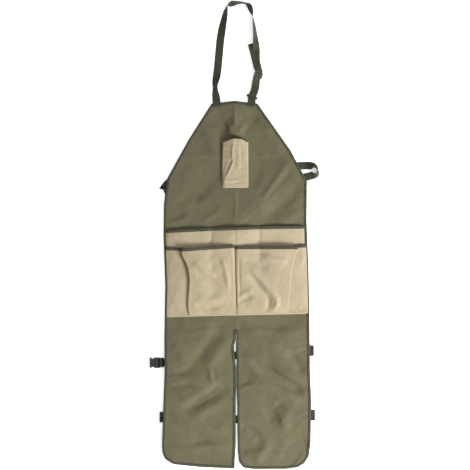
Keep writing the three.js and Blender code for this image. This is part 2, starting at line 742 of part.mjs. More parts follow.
const neckRows = () => [
  ...NECK,
  ...threaded(-UNDER - STEP, 0.7),
  { at: RING_AT.at(-RING_BAR - 24, -1.2), side: RING_AT.s },
  { at: RING_AT.at(-RING_BAR - 8, -ROUND), side: RING_AT.s },
  ...roundBar(RING_AT, -RING_BAR, 1, 1),
  { at: RING_AT.at(-RING_BAR - 8, ROUND), side: RING_AT.s },
  { at: RING_AT.at(-RING_BAR - 24, ROUND + 0.4), side: RING_AT.s },
  ...threaded(-UNDER, 0).reverse(),
  ...TAIL,
];

// The tab that holds the ring: down the front of the bib, and back under itself.
const tabRows = () => [
  { x: 54.2, y: 416.2, z: 6.8, tilt: 0 },
  { x: 55.2, y: 427, z: 6.8, tilt: 0 },
  ...roundBar(RING_AT, RING_BAR, -1, -1),
  { at: RING_AT.at(RING_BAR + 3, -ROUND), side: RING_AT.s },
  { at: RING_AT.at(RING_BAR + 6.6, -ROUND + 0.5), side: RING_AT.s },
];

// ---------------------------------------------------------------- waist belt
const BELT_RIGHT = [
  { x: 182.6, y: 217.8, z: 0.4, tilt: 0 },
  { x: 206.6, y: 220.3, z: 0.4, tilt: 0 },
  { x: 232.2, y: 221.3, z: 0.4, tilt: 2 },
  { x: 248.2, y: 220.6, z: 0.4, tilt: 24 },
  { x: 259, y: 218.1, z: 0.4, tilt: 60 },
  { x: 265.8, y: 209.8, z: 0.4, tilt: 78 },
  { x: 264.8, y: 198.9, z: 0.4, tilt: 68 },
  { x: 257.8, y: 192.5, z: 0.4, tilt: 32 },
  { x: 246.2, y: 189.3, z: 0.3, tilt: 4 },
  { x: 235.4, y: 186.7, z: 0.3, tilt: 0 },
  { x: 224.2, y: 183.5, z: 0.3, tilt: 0 },
  { x: 197, y: 171.7, z: 0.4, tilt: 0 },
  { x: 113.8, y: 125, z: 0.4, tilt: 0 },
  { x: 61.3, y: 85.9, z: 0.6, tilt: 0 },
  { x: 47.8, y: 75, z: 1.6, tilt: 0 },
  { x: 36.6, y: 69.9, z: 2.5, tilt: 0 },
  { x: 29.6, y: 69.9, z: 2.5, tilt: 0 },
];
const FOLD_SIDE = new THREE.Vector3(0.225, -0.974, 0); // the crease where the left belt turns back
const foldRow = (x, y, z) => ({
  at: new THREE.Vector3(x, y, z),
  side: FOLD_SIDE,
  width: WEBBING * 1.165,
});
const BELT_LEFT = [
  { x: -187, y: 189, z: 2, tilt: 0 },
  { x: -216.2, y: 161.1, z: 2, tilt: 0 },
  foldRow(-230.4, 146.7, 2.6),
  foldRow(-231.6, 146.7, 1.7),
  foldRow(-230.4, 146.7, 0.9),
  { x: -213.9, y: 141.3, z: 0.3, tilt: 0 },
  { x: -123, y: 112.8, z: 0.3, tilt: 0 },
  { x: -59, y: 85.3, z: 0.6, tilt: 0 },
  { x: -39.8, y: 73.8, z: 1.6, tilt: 0 },
  { x: -27, y: 69.9, z: 2.5, tilt: 0 },
  { x: -20, y: 69.9, z: 2.5, tilt: 0 },
];

// ---------------------------------------------------------------- leg straps
const THIGH_LEFT = [
  { x: 5.9, y: -385.1, z: 0.3 },
  { x: -65.4, y: -392.8, z: 0.3 },
  { x: -116.6, y: -397.9, z: 0.8 },
  { x: -130.7, y: -399.2, z: 2.5 },
  { x: -141, y: -400.2, z: 2.5 },
];
const THIGH_RIGHT = [
  { x: 8.2, y: -384.5, z: 0.3 },
  { x: 107.4, y: -378.1, z: 0.3 },
  { x: 177.8, y: -373.3, z: 0.8 },
  { x: 192.5, y: -371.7, z: 2.5 },
  { x: 201.4, y: -371.5, z: 2.5 },
];
const CALF_LEFT = [
  { x: 5.9, y: -589.9, z: 0.3 },
  { x: -91, y: -586.1, z: 0.3 },
  { x: -162.7, y: -582.9, z: 0.8 },
  { x: -177.4, y: -582.9, z: 2.5 },
  { x: -186.4, y: -582.9, z: 2.5 },
];
const CALF_RIGHT = [
  { x: 8.2, y: -589.3, z: 0.3 },
  { x: 107.4, y: -582.9, z: 0.3 },
  { x: 181, y: -578.4, z: 0.8 },
  { x: 195.7, y: -577.8, z: 2.5 },
  { x: 204.6, y: -577.6, z: 2.5 },
];
const TAB_LEFT = [
  { x: -241.4, y: -409.1, z: 2.5 },
  { x: -234.1, y: -409.1, z: 2.5 },
  { x: -228, y: -408.5, z: 0.8 },
  { x: -222.2, y: -407.8, z: 0.3 },
  { x: -187, y: -405, z: 0.3 },
];

// A closed buckle: a plain body with a slot for the webbing at each end named in ends.
function closedBuckle(length, ends) {
  const { width, height } = BUCKLE;
  const body = plate(length, width, 5, height);
  const slots = ends.map((e) =>
    block(
      e < 0 ? -length / 2 - 1 : length / 2 - 7,
      e < 0 ? -length / 2 + 7 : length / 2 + 1,
      -WEBBING / 2 - 0.6,
      WEBBING / 2 + 0.6,
      1.9,
      4.5,
    ),
  );
  return cut(body, ...slots);
}

// The open half: a sleeve with a mouth, windows at its sides, and a slot for its tab.
const SOCKET = { length: 34.4, width: 33.6, height: 8.4, wall: 1.6, deep: 22 };
function openHalf() {
  const { length: l, width: w, height: h, wall, deep } = SOCKET;
  return cut(
    plate(l, w, 4, h),
    block(-l / 2 - 1, -l / 2 + deep, -w / 2 + 3.4, w / 2 - 3.4, wall, h - wall),
    block(-l / 2 + 8, -l / 2 + 18, -w / 2 - 1, -w / 2 + 4, wall, h - wall),
    block(-l / 2 + 8, -l / 2 + 18, w / 2 - 4, w / 2 + 1, wall, h - wall),
    block(l / 2 - 7, l / 2 + 1, -WEBBING / 2 - 0.6, WEBBING / 2 + 0.6, 1.9, 4.5),
  );
}

// ---------------------------------------------------------------- colours
const material = (color, roughness) =>
  new THREE.MeshStandardMaterial({ color, roughness, metalness: 0 });
const OLIVE = 0x6b6a50,
  TAPE_OLIVE = 0x45463a,
  TAN = 0xc6b796,
  WEB = 0x43483a,
  BLACK = 0x242424;

// ---------------------------------------------------------------- assembly
const apron = new THREE.Group();
apron.name = "gardening_apron";
function add(group, name, geometry, color, roughness, at = [0, 0, 0], turn = 0) {
  const mesh = new THREE.Mesh(geometry, material(color, roughness));
  mesh.name = name;
  mesh.position.set(...at);
  mesh.rotation.z = THREE.MathUtils.degToRad(turn);
  group.add(mesh);
  return mesh;
}

const cloth = new THREE.Group();
add(cloth, "body_panel", bodyPanel(), OLIVE, 0.85);
add(cloth, "edge_binding", edgeBinding(), TAPE_OLIVE, 0.8);
const upperLines = [0, 0.03, 0.14, 0.27, 0.42, 0.6, 0.8, 1].map(upperLine);
add(cloth, "upper_pocket", sheet(upperLines, POCKET_CLOTH), TAN, 0.85);
add(cloth, "upper_pocket_binding", mouthTape(upperLines, POCKET_CLOTH), TAPE_OLIVE, 0.8);
for (const [name, table, side] of [
  ["left", LOWER_LEFT, -1],
  ["right", LOWER_RIGHT, 1],
]) {
  const lines = lowerLines(table, side);
  add(cloth, "lower_pocket_" + name, sheet(lines, POCKET_CLOTH), TAN, 0.85);
  add(cloth, "lower_pocket_binding_" + name, mouthTape(lines, POCKET_CLOTH), TAPE_OLIVE, 0.8);
}
add(cloth, "chest_pocket", sheet(CHEST.map(chestLine), POCKET_CLOTH), TAN, 0.85);
apron.add(cloth);

const webbing = new THREE.Group();
add(webbing, "neck_strap", ribbon(neckRows()), WEB, 0.75);
add(webbing, "neck_tab", ribbon(tabRows()), WEB, 0.75);
add(webbing, "waist_strap_left", ribbon(BELT_LEFT), WEB, 0.75);
add(webbing, "waist_strap_right", ribbon(BELT_RIGHT), WEB, 0.75);
add(webbing, "thigh_strap_left", ribbon(THIGH_LEFT), WEB, 0.75);
add(webbing, "thigh_strap_right", ribbon(THIGH_RIGHT), WEB, 0.75);
add(webbing, "calf_strap_left", ribbon(CALF_LEFT), WEB, 0.75);
add(webbing, "calf_strap_right", ribbon(CALF_RIGHT), WEB, 0.75);
add(webbing, "thigh_tab_left", ribbon(TAB_LEFT), WEB, 0.75);
apron.add(webbing);

const hardware = new THREE.Group();
const sliderSlot = SLIDER.length / 2 - SLIDER.bar * 1.5;
add(
  hardware,
  "neck_slider",
  put(
    plate(SLIDER.width, SLIDER.length, 4, SLIDER.thick, [
      [0, SLIDER.bar / 2 + sliderSlot / 2, SLIDER.width - 2 * SLIDER.ends, sliderSlot],
      [0, -SLIDER.bar / 2 - sliderSlot / 2, SLIDER.width - 2 * SLIDER.ends, sliderSlot],
    ]).translate(0, 0, -SLIDER.thick / 2),
    SLIDER_AT,
  ),
  BLACK,
  0.5,
);
add(
  hardware,
  "neck_ring",
  put(
    plate(RING.width, RING.length, 3.5, RING.thick, [
      [0, 0, RING.width - 2 * RING.bar, RING.length - 2 * RING.bar],
    ]).translate(0, 0, -RING.thick / 2),
    RING_AT,
  ),
  BLACK,
  0.5,
);
add(hardware, "waist_buckle", closedBuckle(BUCKLE.length, [-1, 1]), BLACK, 0.5, [5, 69.9, 0]);
add(hardware, "thigh_buckle_left", openHalf(), BLACK, 0.5, [-253.6, -409.1, 0]);
add(hardware, "thigh_clip_left", closedBuckle(36, [1]), BLACK, 0.5, [-153.4, -401.1, 0], 5);
add(hardware, "thigh_buckle_right", closedBuckle(BUCKLE.length, [-1]), BLACK, 0.5, [225.3, -371, 0], 1);
add(hardware, "calf_buckle_left", closedBuckle(BUCKLE.length, [1]), BLACK, 0.5, [-210.6, -582.9, 0]);
add(hardware, "calf_buckle_right", closedBuckle(BUCKLE.length, [-1]), BLACK, 0.5, [228.8, -577.1, 0], 1);
apron.add(hardware);

export default apron;
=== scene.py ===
"""Looks of the gardening apron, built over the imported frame. Lengths are millimetres until a mesh is made."""

import math

import bpy
import numpy as np
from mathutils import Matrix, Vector


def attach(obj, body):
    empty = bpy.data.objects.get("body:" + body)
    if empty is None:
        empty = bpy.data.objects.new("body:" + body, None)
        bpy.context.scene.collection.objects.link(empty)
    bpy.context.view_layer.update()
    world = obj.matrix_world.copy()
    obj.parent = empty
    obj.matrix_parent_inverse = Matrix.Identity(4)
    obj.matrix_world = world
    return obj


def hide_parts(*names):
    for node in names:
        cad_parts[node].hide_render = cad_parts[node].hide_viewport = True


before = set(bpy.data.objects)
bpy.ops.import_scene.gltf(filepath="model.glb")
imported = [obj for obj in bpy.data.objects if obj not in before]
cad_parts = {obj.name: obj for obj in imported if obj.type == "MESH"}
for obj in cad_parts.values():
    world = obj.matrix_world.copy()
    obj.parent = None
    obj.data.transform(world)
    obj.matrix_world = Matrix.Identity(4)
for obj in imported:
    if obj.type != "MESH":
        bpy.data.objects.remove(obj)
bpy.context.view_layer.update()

# ---------------------------------------------------------------- scale and helpers
PX = 3.2  # millimetres to a pixel of the photograph


def X(px):
    return (px - 234.45) * PX


def Y(py):
    return (234.85 - py) * PX


def P(px, py):
    return np.array([(px - 234.45) * PX, (234.85 - py) * PX])


def smooth(x, a, b):
    t = np.clip((x - a) / (b - a), 0.0, 1.0)
    return t * t * (3 - 2 * t)


def line_distance(x, y, a, b):
    dx, dy = b[0] - a[0], b[1] - a[1]
    t = np.clip(((x - a[0]) * dx + (y - a[1]) * dy) / (dx * dx + dy * dy or 1.0), 0, 1)
    return np.hypot(x - a[0] - t * dx, y - a[1] - t * dy)


def waves(x, y, seed, length, octaves=2):
    """Smooth noise of about -1 to 1 from a few sines of that wavelength, the same on every run."""
    r = np.random.RandomState(seed)
    out = 0 * x
    total = 0.0
    for o in range(octaves):
        for _ in range(5):
            t = r.uniform(0, 2 * math.pi)
            f = 2 * math.pi / (length / (1.9**o) * r.uniform(0.75, 1.4))
            ph = r.uniform(0, 2 * math.pi)
            a = 0.55**o
            bend = 0.6 * np.sin((x * math.sin(t) - y * math.cos(t)) * f * 0.37 + ph * 1.7)
            out = out + a * np.sin((x * math.cos(t) + y * math.sin(t)) * f + ph + bend)
            total += a
    return out / (0.5 * total)


# ---------------------------------------------------------------- outline
OUTLINE = [
    (211.5, 103.6, 8), (188.4, 140, 0), (167.2, 178.5, 14), (163.9, 205, 0), (163.5, 236, 0),
    (165.3, 285, 0), (164.4, 335, 0), (164.6, 372, 0), (163.2, 410, 0), (162.0, 446, 0),
    (162.4, 452, 16), (165, 458.8, 14), (173.3, 464.2, 20), (200.6, 467, 0), (234.6, 468.6, 0), (234.9, 460, 10), (235.7, 447, 10),
    (235.8, 404, 0), (236.3, 387, 0), (236.3, 368, 0), (235.2, 360, 6), (234.3, 351, 8), (234.2, 345, 6), (236.05, 339.4, 4), (236.1, 331.8, 0.3),
    (236.4, 331.8, 0.3), (236.2, 338.8, 3), (235.8, 344.6, 8), (236.0, 352, 8), (236.5, 361, 6), (236.4, 368, 0), (236.4, 387, 0), (237.2, 404, 0), (237.35, 432, 0), (237.9, 452, 8), (239.0, 461.6, 16),
    (243.8, 467.8, 16), (254, 469, 20), (286, 468.9, 0), (297.5, 467.4, 24), (304.3, 463.3, 18), (308.6, 456.6, 18), (310.6, 444, 24), (311.2, 400, 0),
    (310.0, 371, 0), (309.4, 310, 0), (308.6, 270, 0), (306.6, 220, 0), (307.0, 181, 14),
    (290.6, 150.5, 0), (257.6, 103.6, 8), (234.5, 100.9, 0),
]


def outline(step):
    """The body's outer edge, counter-clockwise, corners rounded, a point every step millimetres."""
    pts = []
    n = len(OUTLINE)
    for i, (px, py, r) in enumerate(OUTLINE):
        p = P(px, py)
        if not r:
            pts.append(p)
            continue
        a, b = P(*OUTLINE[i - 1][:2]), P(*OUTLINE[(i + 1) % n][:2])
        u, v = (a - p) / np.linalg.norm(a - p), (b - p) / np.linalg.norm(b - p)
        half = math.acos(float(np.clip(u @ v, -1, 1))) / 2
        back = r / math.tan(half)
        m = (u + v) / np.linalg.norm(u + v)
        c = p + m * r / math.sin(half)
        s, e = p + u * back, p + v * back
        a0 = math.atan2(s[1] - c[1], s[0] - c[0])
        turn = math.atan2(e[1] - c[1], e[0] - c[0]) - a0
        turn = math.atan2(math.sin(turn), math.cos(turn))
        k = max(3, math.ceil(abs(turn) / 0.2))
        for j in range(k + 1):
            t = a0 + turn * j / k
            pts.append(c + r * np.array([math.cos(t), math.sin(t)]))
    out = []
    for i, p in enumerate(pts):
        q = pts[(i + 1) % len(pts)]
        k = max(1, round(float(np.linalg.norm(q - p)) / step))
        for j in range(k):
            out.append(p + (q - p) * j / k)
    return np.array(out)


def inset(pts, d):
    a, b = np.roll(pts, 1, 0), np.roll(pts, -1, 0)
    e1, e2 = pts - a, b - pts
    n1 = np.stack([-e1[:, 1], e1[:, 0]], 1) / np.linalg.norm(e1, axis=1)[:, None]
    n2 = np.stack([-e2[:, 1], e2[:, 0]], 1) / np.linalg.norm(e2, axis=1)[:, None]
    m = n1 + n2
    m /= np.linalg.norm(m, axis=1)[:, None]
    return pts + m * (d / np.maximum(0.5, (m * n1).sum(1)))[:, None]


EDGE = outline(3.0)


def edge_x(y, side):
    """Where the outline crosses a height y, on the left (-1) or right (1) side."""
    y = float(y)
    q = np.roll(EDGE, -1, 0)
    hit = (EDGE[:, 1] - y) * (q[:, 1] - y) <= 0
    hit &= EDGE[:, 1] != q[:, 1]
    x = EDGE[hit, 0] + (y - EDGE[hit, 1]) * (q[hit, 0] - EDGE[hit, 0]) / (q[hit, 1] - EDGE[hit, 1])
    return float(x.max() if side > 0 else x.min())


def inside(x, y, poly):
    """Which points lie inside a polygon."""
    out = np.zeros(x.shape, bool)
    qx, qy = np.roll(poly[:, 0], -1), np.roll(poly[:, 1], -1)
    for ax, ay, bx, by in zip(poly[:, 0], poly[:, 1], qx, qy):
        if ay == by:
            continue
        cross = (ay > y) != (by > y)
        out ^= cross & (x < (bx - ax) * (y - ay) / (by - ay) + ax)
    return out


# ---------------------------------------------------------------- the lie of the cloth
LIFTS = [  # height, half-width of the flat part, width of the slope, from, to
    (2.0, 46, 70, (172, 180), (236, 213)), (2.0, 46, 70, (236, 213), (300, 182)),
    (3.8, 44, 60, (164, 186), (178, 176)), (6.8, 62, 90, (232, 214), (238, 214)),
    (2.0, 46, 60, (162, 361), (234, 355)), (6.8, 52, 80, (186, 360), (192, 360)),
    (2.0, 46, 60, (238, 355), (310, 351)), (6.8, 52, 80, (300, 351), (322, 351)),
    (2.0, 46, 60, (164, 417), (234, 419)), (6.8, 52, 80, (152, 417), (172, 417)),
    (2.0, 46, 60, (238, 419), (310, 415)), (6.8, 52, 80, (302, 415), (324, 415)),
]
FOLDS = [  # height, half-width, from, to
    (3.2, 34, (238, 222), (286, 162)), (5.0, 40, (234, 112), (236, 130)),
    (2.4, 34, (176, 222), (196, 212)), (3.0, 36, (180, 383), (222, 382)),
    (2.6, 36, (252, 386), (296, 392)), (2.2, 36, (178, 446), (222, 447)),
]
# Creases and puckers seen in the photograph: height (below 0 a valley), half-width in mm, then the line in pixels
CREASES = [
    (1.5, 5, [(234.6, 104), (234.8, 128), (235.2, 137)]),
    (1.1, 5, [(235.2, 188), (235.6, 205), (234.4, 226)]),
    (0.8, 5, [(236.2, 318), (236.4, 330)]),
    (2.4, 26, [(226, 127), (244, 127)]),
    (1.6, 10, [(226, 122), (234.5, 133), (247, 123)]),
    (-1.3, 9, [(227, 116), (231, 127)]),
    (-1.0, 9, [(243, 116), (239, 128)]),
    (0.45, 6, [(190, 157), (205, 155.6), (221, 156.5)]),
    (0.35, 6, [(250, 156.5), (268, 155), (286, 156)]),
    (-0.4, 7, [(192, 160.5), (206, 159.4), (220, 160)]),
    (-0.3, 7, [(251, 160), (268, 158.6), (284, 160)]),
    (1.6, 9, [(237, 224), (250, 210), (268, 191), (291, 158)]),
    (-1.3, 10, [(241, 226), (256, 211), (274, 190), (294, 168)]),
    (1.5, 5, [(232, 221.5), (237.5, 226)]),
    (-1.2, 5, [(232.5, 225), (236, 220)]),
    (0.9, 10, [(167, 224.5), (178, 221), (190, 215.5)]),
    (-0.7, 9, [(168, 219.5), (178, 216), (188, 212)]),
    (0.9, 9, [(199, 222), (212, 216), (222, 206)]),
    (0.8, 10, [(180, 176), (196, 190), (210, 204)]),
    (-0.8, 9, [(184, 170), (200, 184), (214, 200)]),
    (0.7, 10, [(272, 214), (286, 206), (302, 202)]),
    (1.7, 7, [(166, 383.5), (186, 380.5), (206, 382), (231, 380)]),
    (-1.3, 7, [(170, 387.5), (188, 385), (208, 386.5), (228, 385)]),
    (1.4, 4, [(210, 375), (213, 383)]),
    (-1.2, 4, [(213.5, 374), (216.5, 382)]),
    (-1.5, 9, [(180, 410), (196, 402), (212, 392), (225, 385)]),
    (1.2, 9, [(176, 404), (192, 396), (206, 388)]),
    (1.1, 8, [(166, 446.5), (188, 449), (210, 446), (231, 449)]),
    (-0.9, 8, [(168, 441), (190, 443), (212, 440.5), (230, 443)]),
    (-0.8, 8, [(172, 455), (196, 456), (220, 454)]),
    (2.03, 6, [(240, 387), (252, 385.4), (264, 386.5)]),
    (2.32, 8, [(246, 362), (264, 372), (284, 384), (306, 395.5)]),
    (-3.48, 9, [(250, 360), (268, 370), (288, 381), (307, 390)]),
    (1.74, 7, [(243, 429), (250, 434), (257, 441)]),
    (-1.45, 7, [(247, 426), (255, 431), (262, 438)]),
    (1.3, 13, [(272, 402), (279, 412)]),
    (0.7, 13, [(281, 418), (288, 428)]),
    (-1.45, 10, [(264, 408), (272, 422)]),
    (0.65, 5, [(167, 366), (176, 369.5), (182, 372)]),
    (-0.60, 5, [(167, 370), (176, 373)]),
    (0.60, 5, [(168, 361.5), (178, 364)]),
    (0.65, 5, [(305, 346), (298, 348.5), (294, 352)]),
    (-0.55, 5, [(305, 350), (298, 353)]),
    (0.55, 5, [(304, 341), (296, 343.5)]),
    (0.50, 5, [(306, 411), (299, 413.5), (294, 417)]),
    (-0.45, 5, [(306, 415), (299, 418)]),
    (0.50, 5, [(167, 412), (175, 414.5), (181, 418)]),
    (-0.45, 5, [(167, 416.5), (175, 419)]),
    (1.0, 9, [(170, 330), (188, 334), (206, 330), (228, 334)]),
    (0.9, 9, [(242, 333), (262, 329), (284, 333), (305, 329)]),
    (1.3, 10, [(240, 456), (258, 452), (280, 455), (304, 451)]),
    (0.8, 9, [(196, 122), (208, 128), (220, 126)]),
    (0.8, 9, [(252, 118), (262, 127), (274, 132)]),
    (-1.5, 9, [(165, 381), (182, 382), (200, 380)]),
    (1.3, 8, [(166, 377), (182, 378), (204, 377)]),
    (1.6, 7, [(209, 368), (211, 376), (212, 385)]),
    (-1.4, 8, [(216, 382), (224, 380), (233, 379)]),
    (-3.19, 10, [(262, 362), (276, 374), (292, 386), (304, 394)]),
    (4.35, 12, [(250, 369), (266, 381), (284, 393), (300, 400)]),
    (-2.32, 10, [(240, 425), (250, 431), (256, 438)]),
    (-2.75, 21, [(301, 438), (293, 450), (285, 462)]),
    (1.74, 20, [(305, 450), (298, 458), (290, 465)]),
    (-2.4, 17, [(223, 326), (207, 345), (191, 366)]),
    (1.9, 16, [(230, 338), (218, 352), (206, 370)]),
    (-2.6, 13, [(184, 413), (200, 402), (216, 392), (229, 386)]),
    (2.2, 16, [(194, 418), (210, 408), (228, 398)]),
    (1.6, 20, [(178, 394), (194, 390), (212, 388)]),
    (1.8, 16, [(172, 345), (180, 352), (184, 362)]),
    (-1.6, 12, [(174, 374), (184, 371), (196, 366)]),
    (3.19, 15, [(241, 352), (260, 362), (284, 374), (306, 384)]),
    (-3.48, 13, [(252, 365), (270, 376), (288, 388), (303, 397)]),
    (2.9, 18, [(248, 378), (266, 388), (290, 402)]),
    (-2.75, 15, [(286, 352), (296, 362), (302, 374)]),
    (-1.74, 14, [(278, 424), (274, 412), (282, 402), (296, 398)]),
    (1.59, 14, [(286, 430), (284, 418), (292, 408)]),
    (-2.9, 20, [(308, 438), (296, 452), (284, 464)]),
    (2.61, 18, [(270, 440), (262, 452), (254, 462)]),
    (1.6, 18, [(196, 426), (212, 430), (230, 426)]),
    (-1.6, 14, [(176, 426), (192, 436), (210, 441)]),
    (-1.8, 16, [(196, 459), (214, 460), (230, 458)]),
    (1.4, 16, [(178, 320), (196, 324), (216, 321)]),
    (-1.3, 14, [(250, 322), (270, 326), (294, 323)]),
    (1.6, 20, [(244, 330), (262, 342), (282, 346)]),
    (-2.0, 18, [(214, 112), (222, 124), (228, 134)]),
    (1.6, 18, [(204, 128), (212, 142), (216, 160)]),
    (-1.8, 16, [(256, 112), (250, 124), (244, 133)]),
    (1.8, 18, [(262, 118), (272, 136), (284, 154)]),
    (-1.6, 18, [(254, 150), (256, 170), (252, 190)]),
    (0.9, 20, [(180, 190), (188, 176), (198, 162)]),
    (-0.8, 20, [(196, 200), (206, 186), (212, 170)]),
    (2.2, 15, [(242, 219), (262, 204), (284, 180)]),
    (-2.2, 15, [(262, 220), (282, 206), (298, 186)]),
    (1.6, 18, [(276, 224), (290, 218), (304, 208)]),
    (0.8, 16, [(180, 206), (196, 204), (214, 196)]),
]


def spline(points, per=8):
    """Catmull-Rom through points of any dimension."""
    p = np.asarray(points, float)
    if len(p) < 3:
        return p
    q = np.vstack([2 * p[0] - p[1], p, 2 * p[-1] - p[-2]])
    out = []
    for i in range(1, len(q) - 2):
        for k in range(per):
            t = k / per
            a, b, c, d = q[i - 1 : i + 3]
            out.append(
                0.5
                * (2 * b + (c - a) * t + (2 * a - 5 * b + 4 * c - d) * t * t + (3 * b - a - 3 * c + d) * t**3)
            )
    out.append(q[-2])
    return np.array(out)


CREASE_LINES = []
for h, w, line in CREASES:
    pts = spline([P(*p) for p in line], 5)
    CREASE_LINES.append((h, w, pts))


def crease_height(x, y):
    out = np.zeros(np.broadcast(x, y).shape)
    for h, w, pts in CREASE_LINES:
        n = len(pts) - 1
        best = np.full(out.shape, 1e9)
        at = np.zeros(out.shape)
        lo, hi = pts.min(0) - 3.2 * w, pts.max(0) + 3.2 * w
        near = (x > lo[0]) & (x < hi[0]) & (y > lo[1]) & (y < hi[1])
        if not near.any():
            continue
        xs, ys = x[near], y[near]
        b, t_at = np.full(xs.shape, 1e9), np.zeros(xs.shape)
        for i in range(n):
            a, c = pts[i], pts[i + 1]
            d = c - a
            t = np.clip(((xs - a[0]) * d[0] + (ys - a[1]) * d[1]) / (d @ d), 0, 1)
            r = np.hypot(xs - a[0] - t * d[0], ys - a[1] - t * d[1])
            closer = r < b
            b = np.where(closer, r, b)
            t_at = np.where(closer, (i + t) / n, t_at)
        end = np.minimum(1, 5 * t_at * (1 - t_at) + 0.12)
        best[near], at[near] = b, end
        out = out + h * np.exp(-((best / w) ** 2)) * at
    return out


def lie(x, y):
    """Height of the cloth above its flat place, from what lies under it and its soft folds."""
    lift = np.zeros(np.broadcast(x, y).shape)
    for h, half, ramp, a, b in LIFTS:
        d = line_distance(x, y, P(*a), P(*b))
        lift = np.maximum(lift, h * (1 - smooth(d, half, half + ramp)))
    fold = np.zeros(lift.shape)
    for h, half, a, b in FOLDS:
        d = line_distance(x, y, P(*a), P(*b))
        fold = np.maximum(fold, h * np.exp(-((d / half) ** 2)))
    return lift + fold


def cloth(x, y, fine=1.0):
    """The same with the fine wrinkles: height of the middle of the panel above the surface."""
    soft = 0.55 * waves(x, y, 3, 120) + 0.32 * waves(x, y, 5, 46) + 0.1 * waves(x, y, 8, 19)
    return 3.1 + lie(x, y) + fine * crease_height(x, y) * 2.1 + fine * soft


# ---------------------------------------------------------------- materials
def nodes_of(name, rough=0.8, sheen=0.0, spec=0.35):
    m = bpy.data.materials.new(name)
    m.use_nodes = True
    nt = m.node_tree
    nt.nodes.clear()
    out = nt.nodes.new("ShaderNodeOutputMaterial")
    b = nt.nodes.new("ShaderNodeBsdfPrincipled")
    nt.links.new(b.outputs[0], out.inputs[0])
    b.inputs["Roughness"].default_value = rough
    b.inputs["Specular IOR Level"].default_value = spec
    if sheen:
        b.inputs["Sheen Weight"].default_value = sheen
        b.inputs["Sheen Roughness"].default_value = 0.6
    return m, nt, b


def math_node(nt, op, a, b=None, c=None):
    n = nt.nodes.new("ShaderNodeMath")
    n.operation = op
    for i, v in enumerate((a, b, c)):
        if v is None:
            continue
        if isinstance(v, (int, float)):
            n.inputs[i].default_value = v
        else:
            nt.links.new(v, n.inputs[i])
    return n.outputs[0]


def noise(nt, coords, scale, detail=3, rough=0.5):
    n = nt.nodes.new("ShaderNodeTexNoise")
    n.inputs["Scale"].default_value = scale
    n.inputs["Detail"].default_value = detail
    n.inputs["Roughness"].default_value = rough
    nt.links.new(coords, n.inputs["Vector"])
    return n.outputs[0]


def ramp(nt, fac, stops):
    n = nt.nodes.new("ShaderNodeValToRGB")
    e = n.color_ramp.elements
    while len(e) < len(stops):
        e.new(0.5)
    for el, (pos, col) in zip(e, stops):
        el.position = pos
        el.color = (*col, 1)
    nt.links.new(fac, n.inputs[0])
    return n.outputs[0]


def mix_colour(nt, fac, a, b, mode="MIX"):
    n = nt.nodes.new("ShaderNodeMix")
    n.data_type = "RGBA"
    n.blend_type = mode
    for s, v in ((0, fac), (6, a), (7, b)):
        if isinstance(v, (int, float)):
            n.inputs[s].default_value = v
        elif isinstance(v, tuple):
            n.inputs[s].default_value = (*v, 1)
        else:
            nt.links.new(v, n.inputs[s])
    return n.outputs[2]


def bump(nt, b, height, strength, distance, after=None):
    n = nt.nodes.new("ShaderNodeBump")
    n.inputs["Strength"].default_value = strength
    n.inputs["Distance"].default_value = distance
    nt.links.new(height, n.inputs["Height"])
    if after is not None:
        nt.links.new(after, n.inputs["Normal"])
    nt.links.new(n.outputs[0], b.inputs["Normal"])
    return n.outputs[0]


def woven(name, dark, mid, light, pitch, rough, sheen):
    """Plain-woven cloth: a weave of crossing yarns, slubs, and soft mottling. Object coordinates, in metres."""
    m, nt, b = nodes_of(name, rough, sheen, 0.28)
    tc = nt.nodes.new("ShaderNodeTexCoord")
    co = tc.outputs["Object"]
    sep = nt.nodes.new("ShaderNodeSeparateXYZ")
    nt.links.new(co, sep.inputs[0])
    k = math.pi / (pitch / 1000)
    sx = math_node(nt, "SINE", math_node(nt, "MULTIPLY", sep.outputs[0], k))
    sy = math_node(nt, "SINE", math_node(nt, "MULTIPLY", sep.outputs[1], k))
    weave = math_node(nt, "MULTIPLY", sx, sy)
    crinkle = noise(nt, co, 95, 4, 0.6)
    broad = noise(nt, co, 17, 3, 0.55)
    fleck = noise(nt, co, 620, 2, 0.6)
    mixed = math_node(nt, "ADD", math_node(nt, "MULTIPLY", broad, 0.4), math_node(nt, "MULTIPLY", fleck, 0.6))
    col = ramp(nt, mixed, [(0.22, dark), (0.5, mid), (0.78, light)])
    shade = math_node(nt, "MULTIPLY_ADD", weave, 0.06, 0.5)
    lit = ramp(nt, shade, [(0.4, (0.42, 0.42, 0.42)), (0.6, (0.58, 0.58, 0.58))])
    nt.links.new(mix_colour(nt, 0.6, col, lit, "OVERLAY"), b.inputs["Base Color"])
    first = bump(nt, b, crinkle, 0.32, 0.0022)
    bump(nt, b, weave, 0.22, 0.0003, first)
    return m


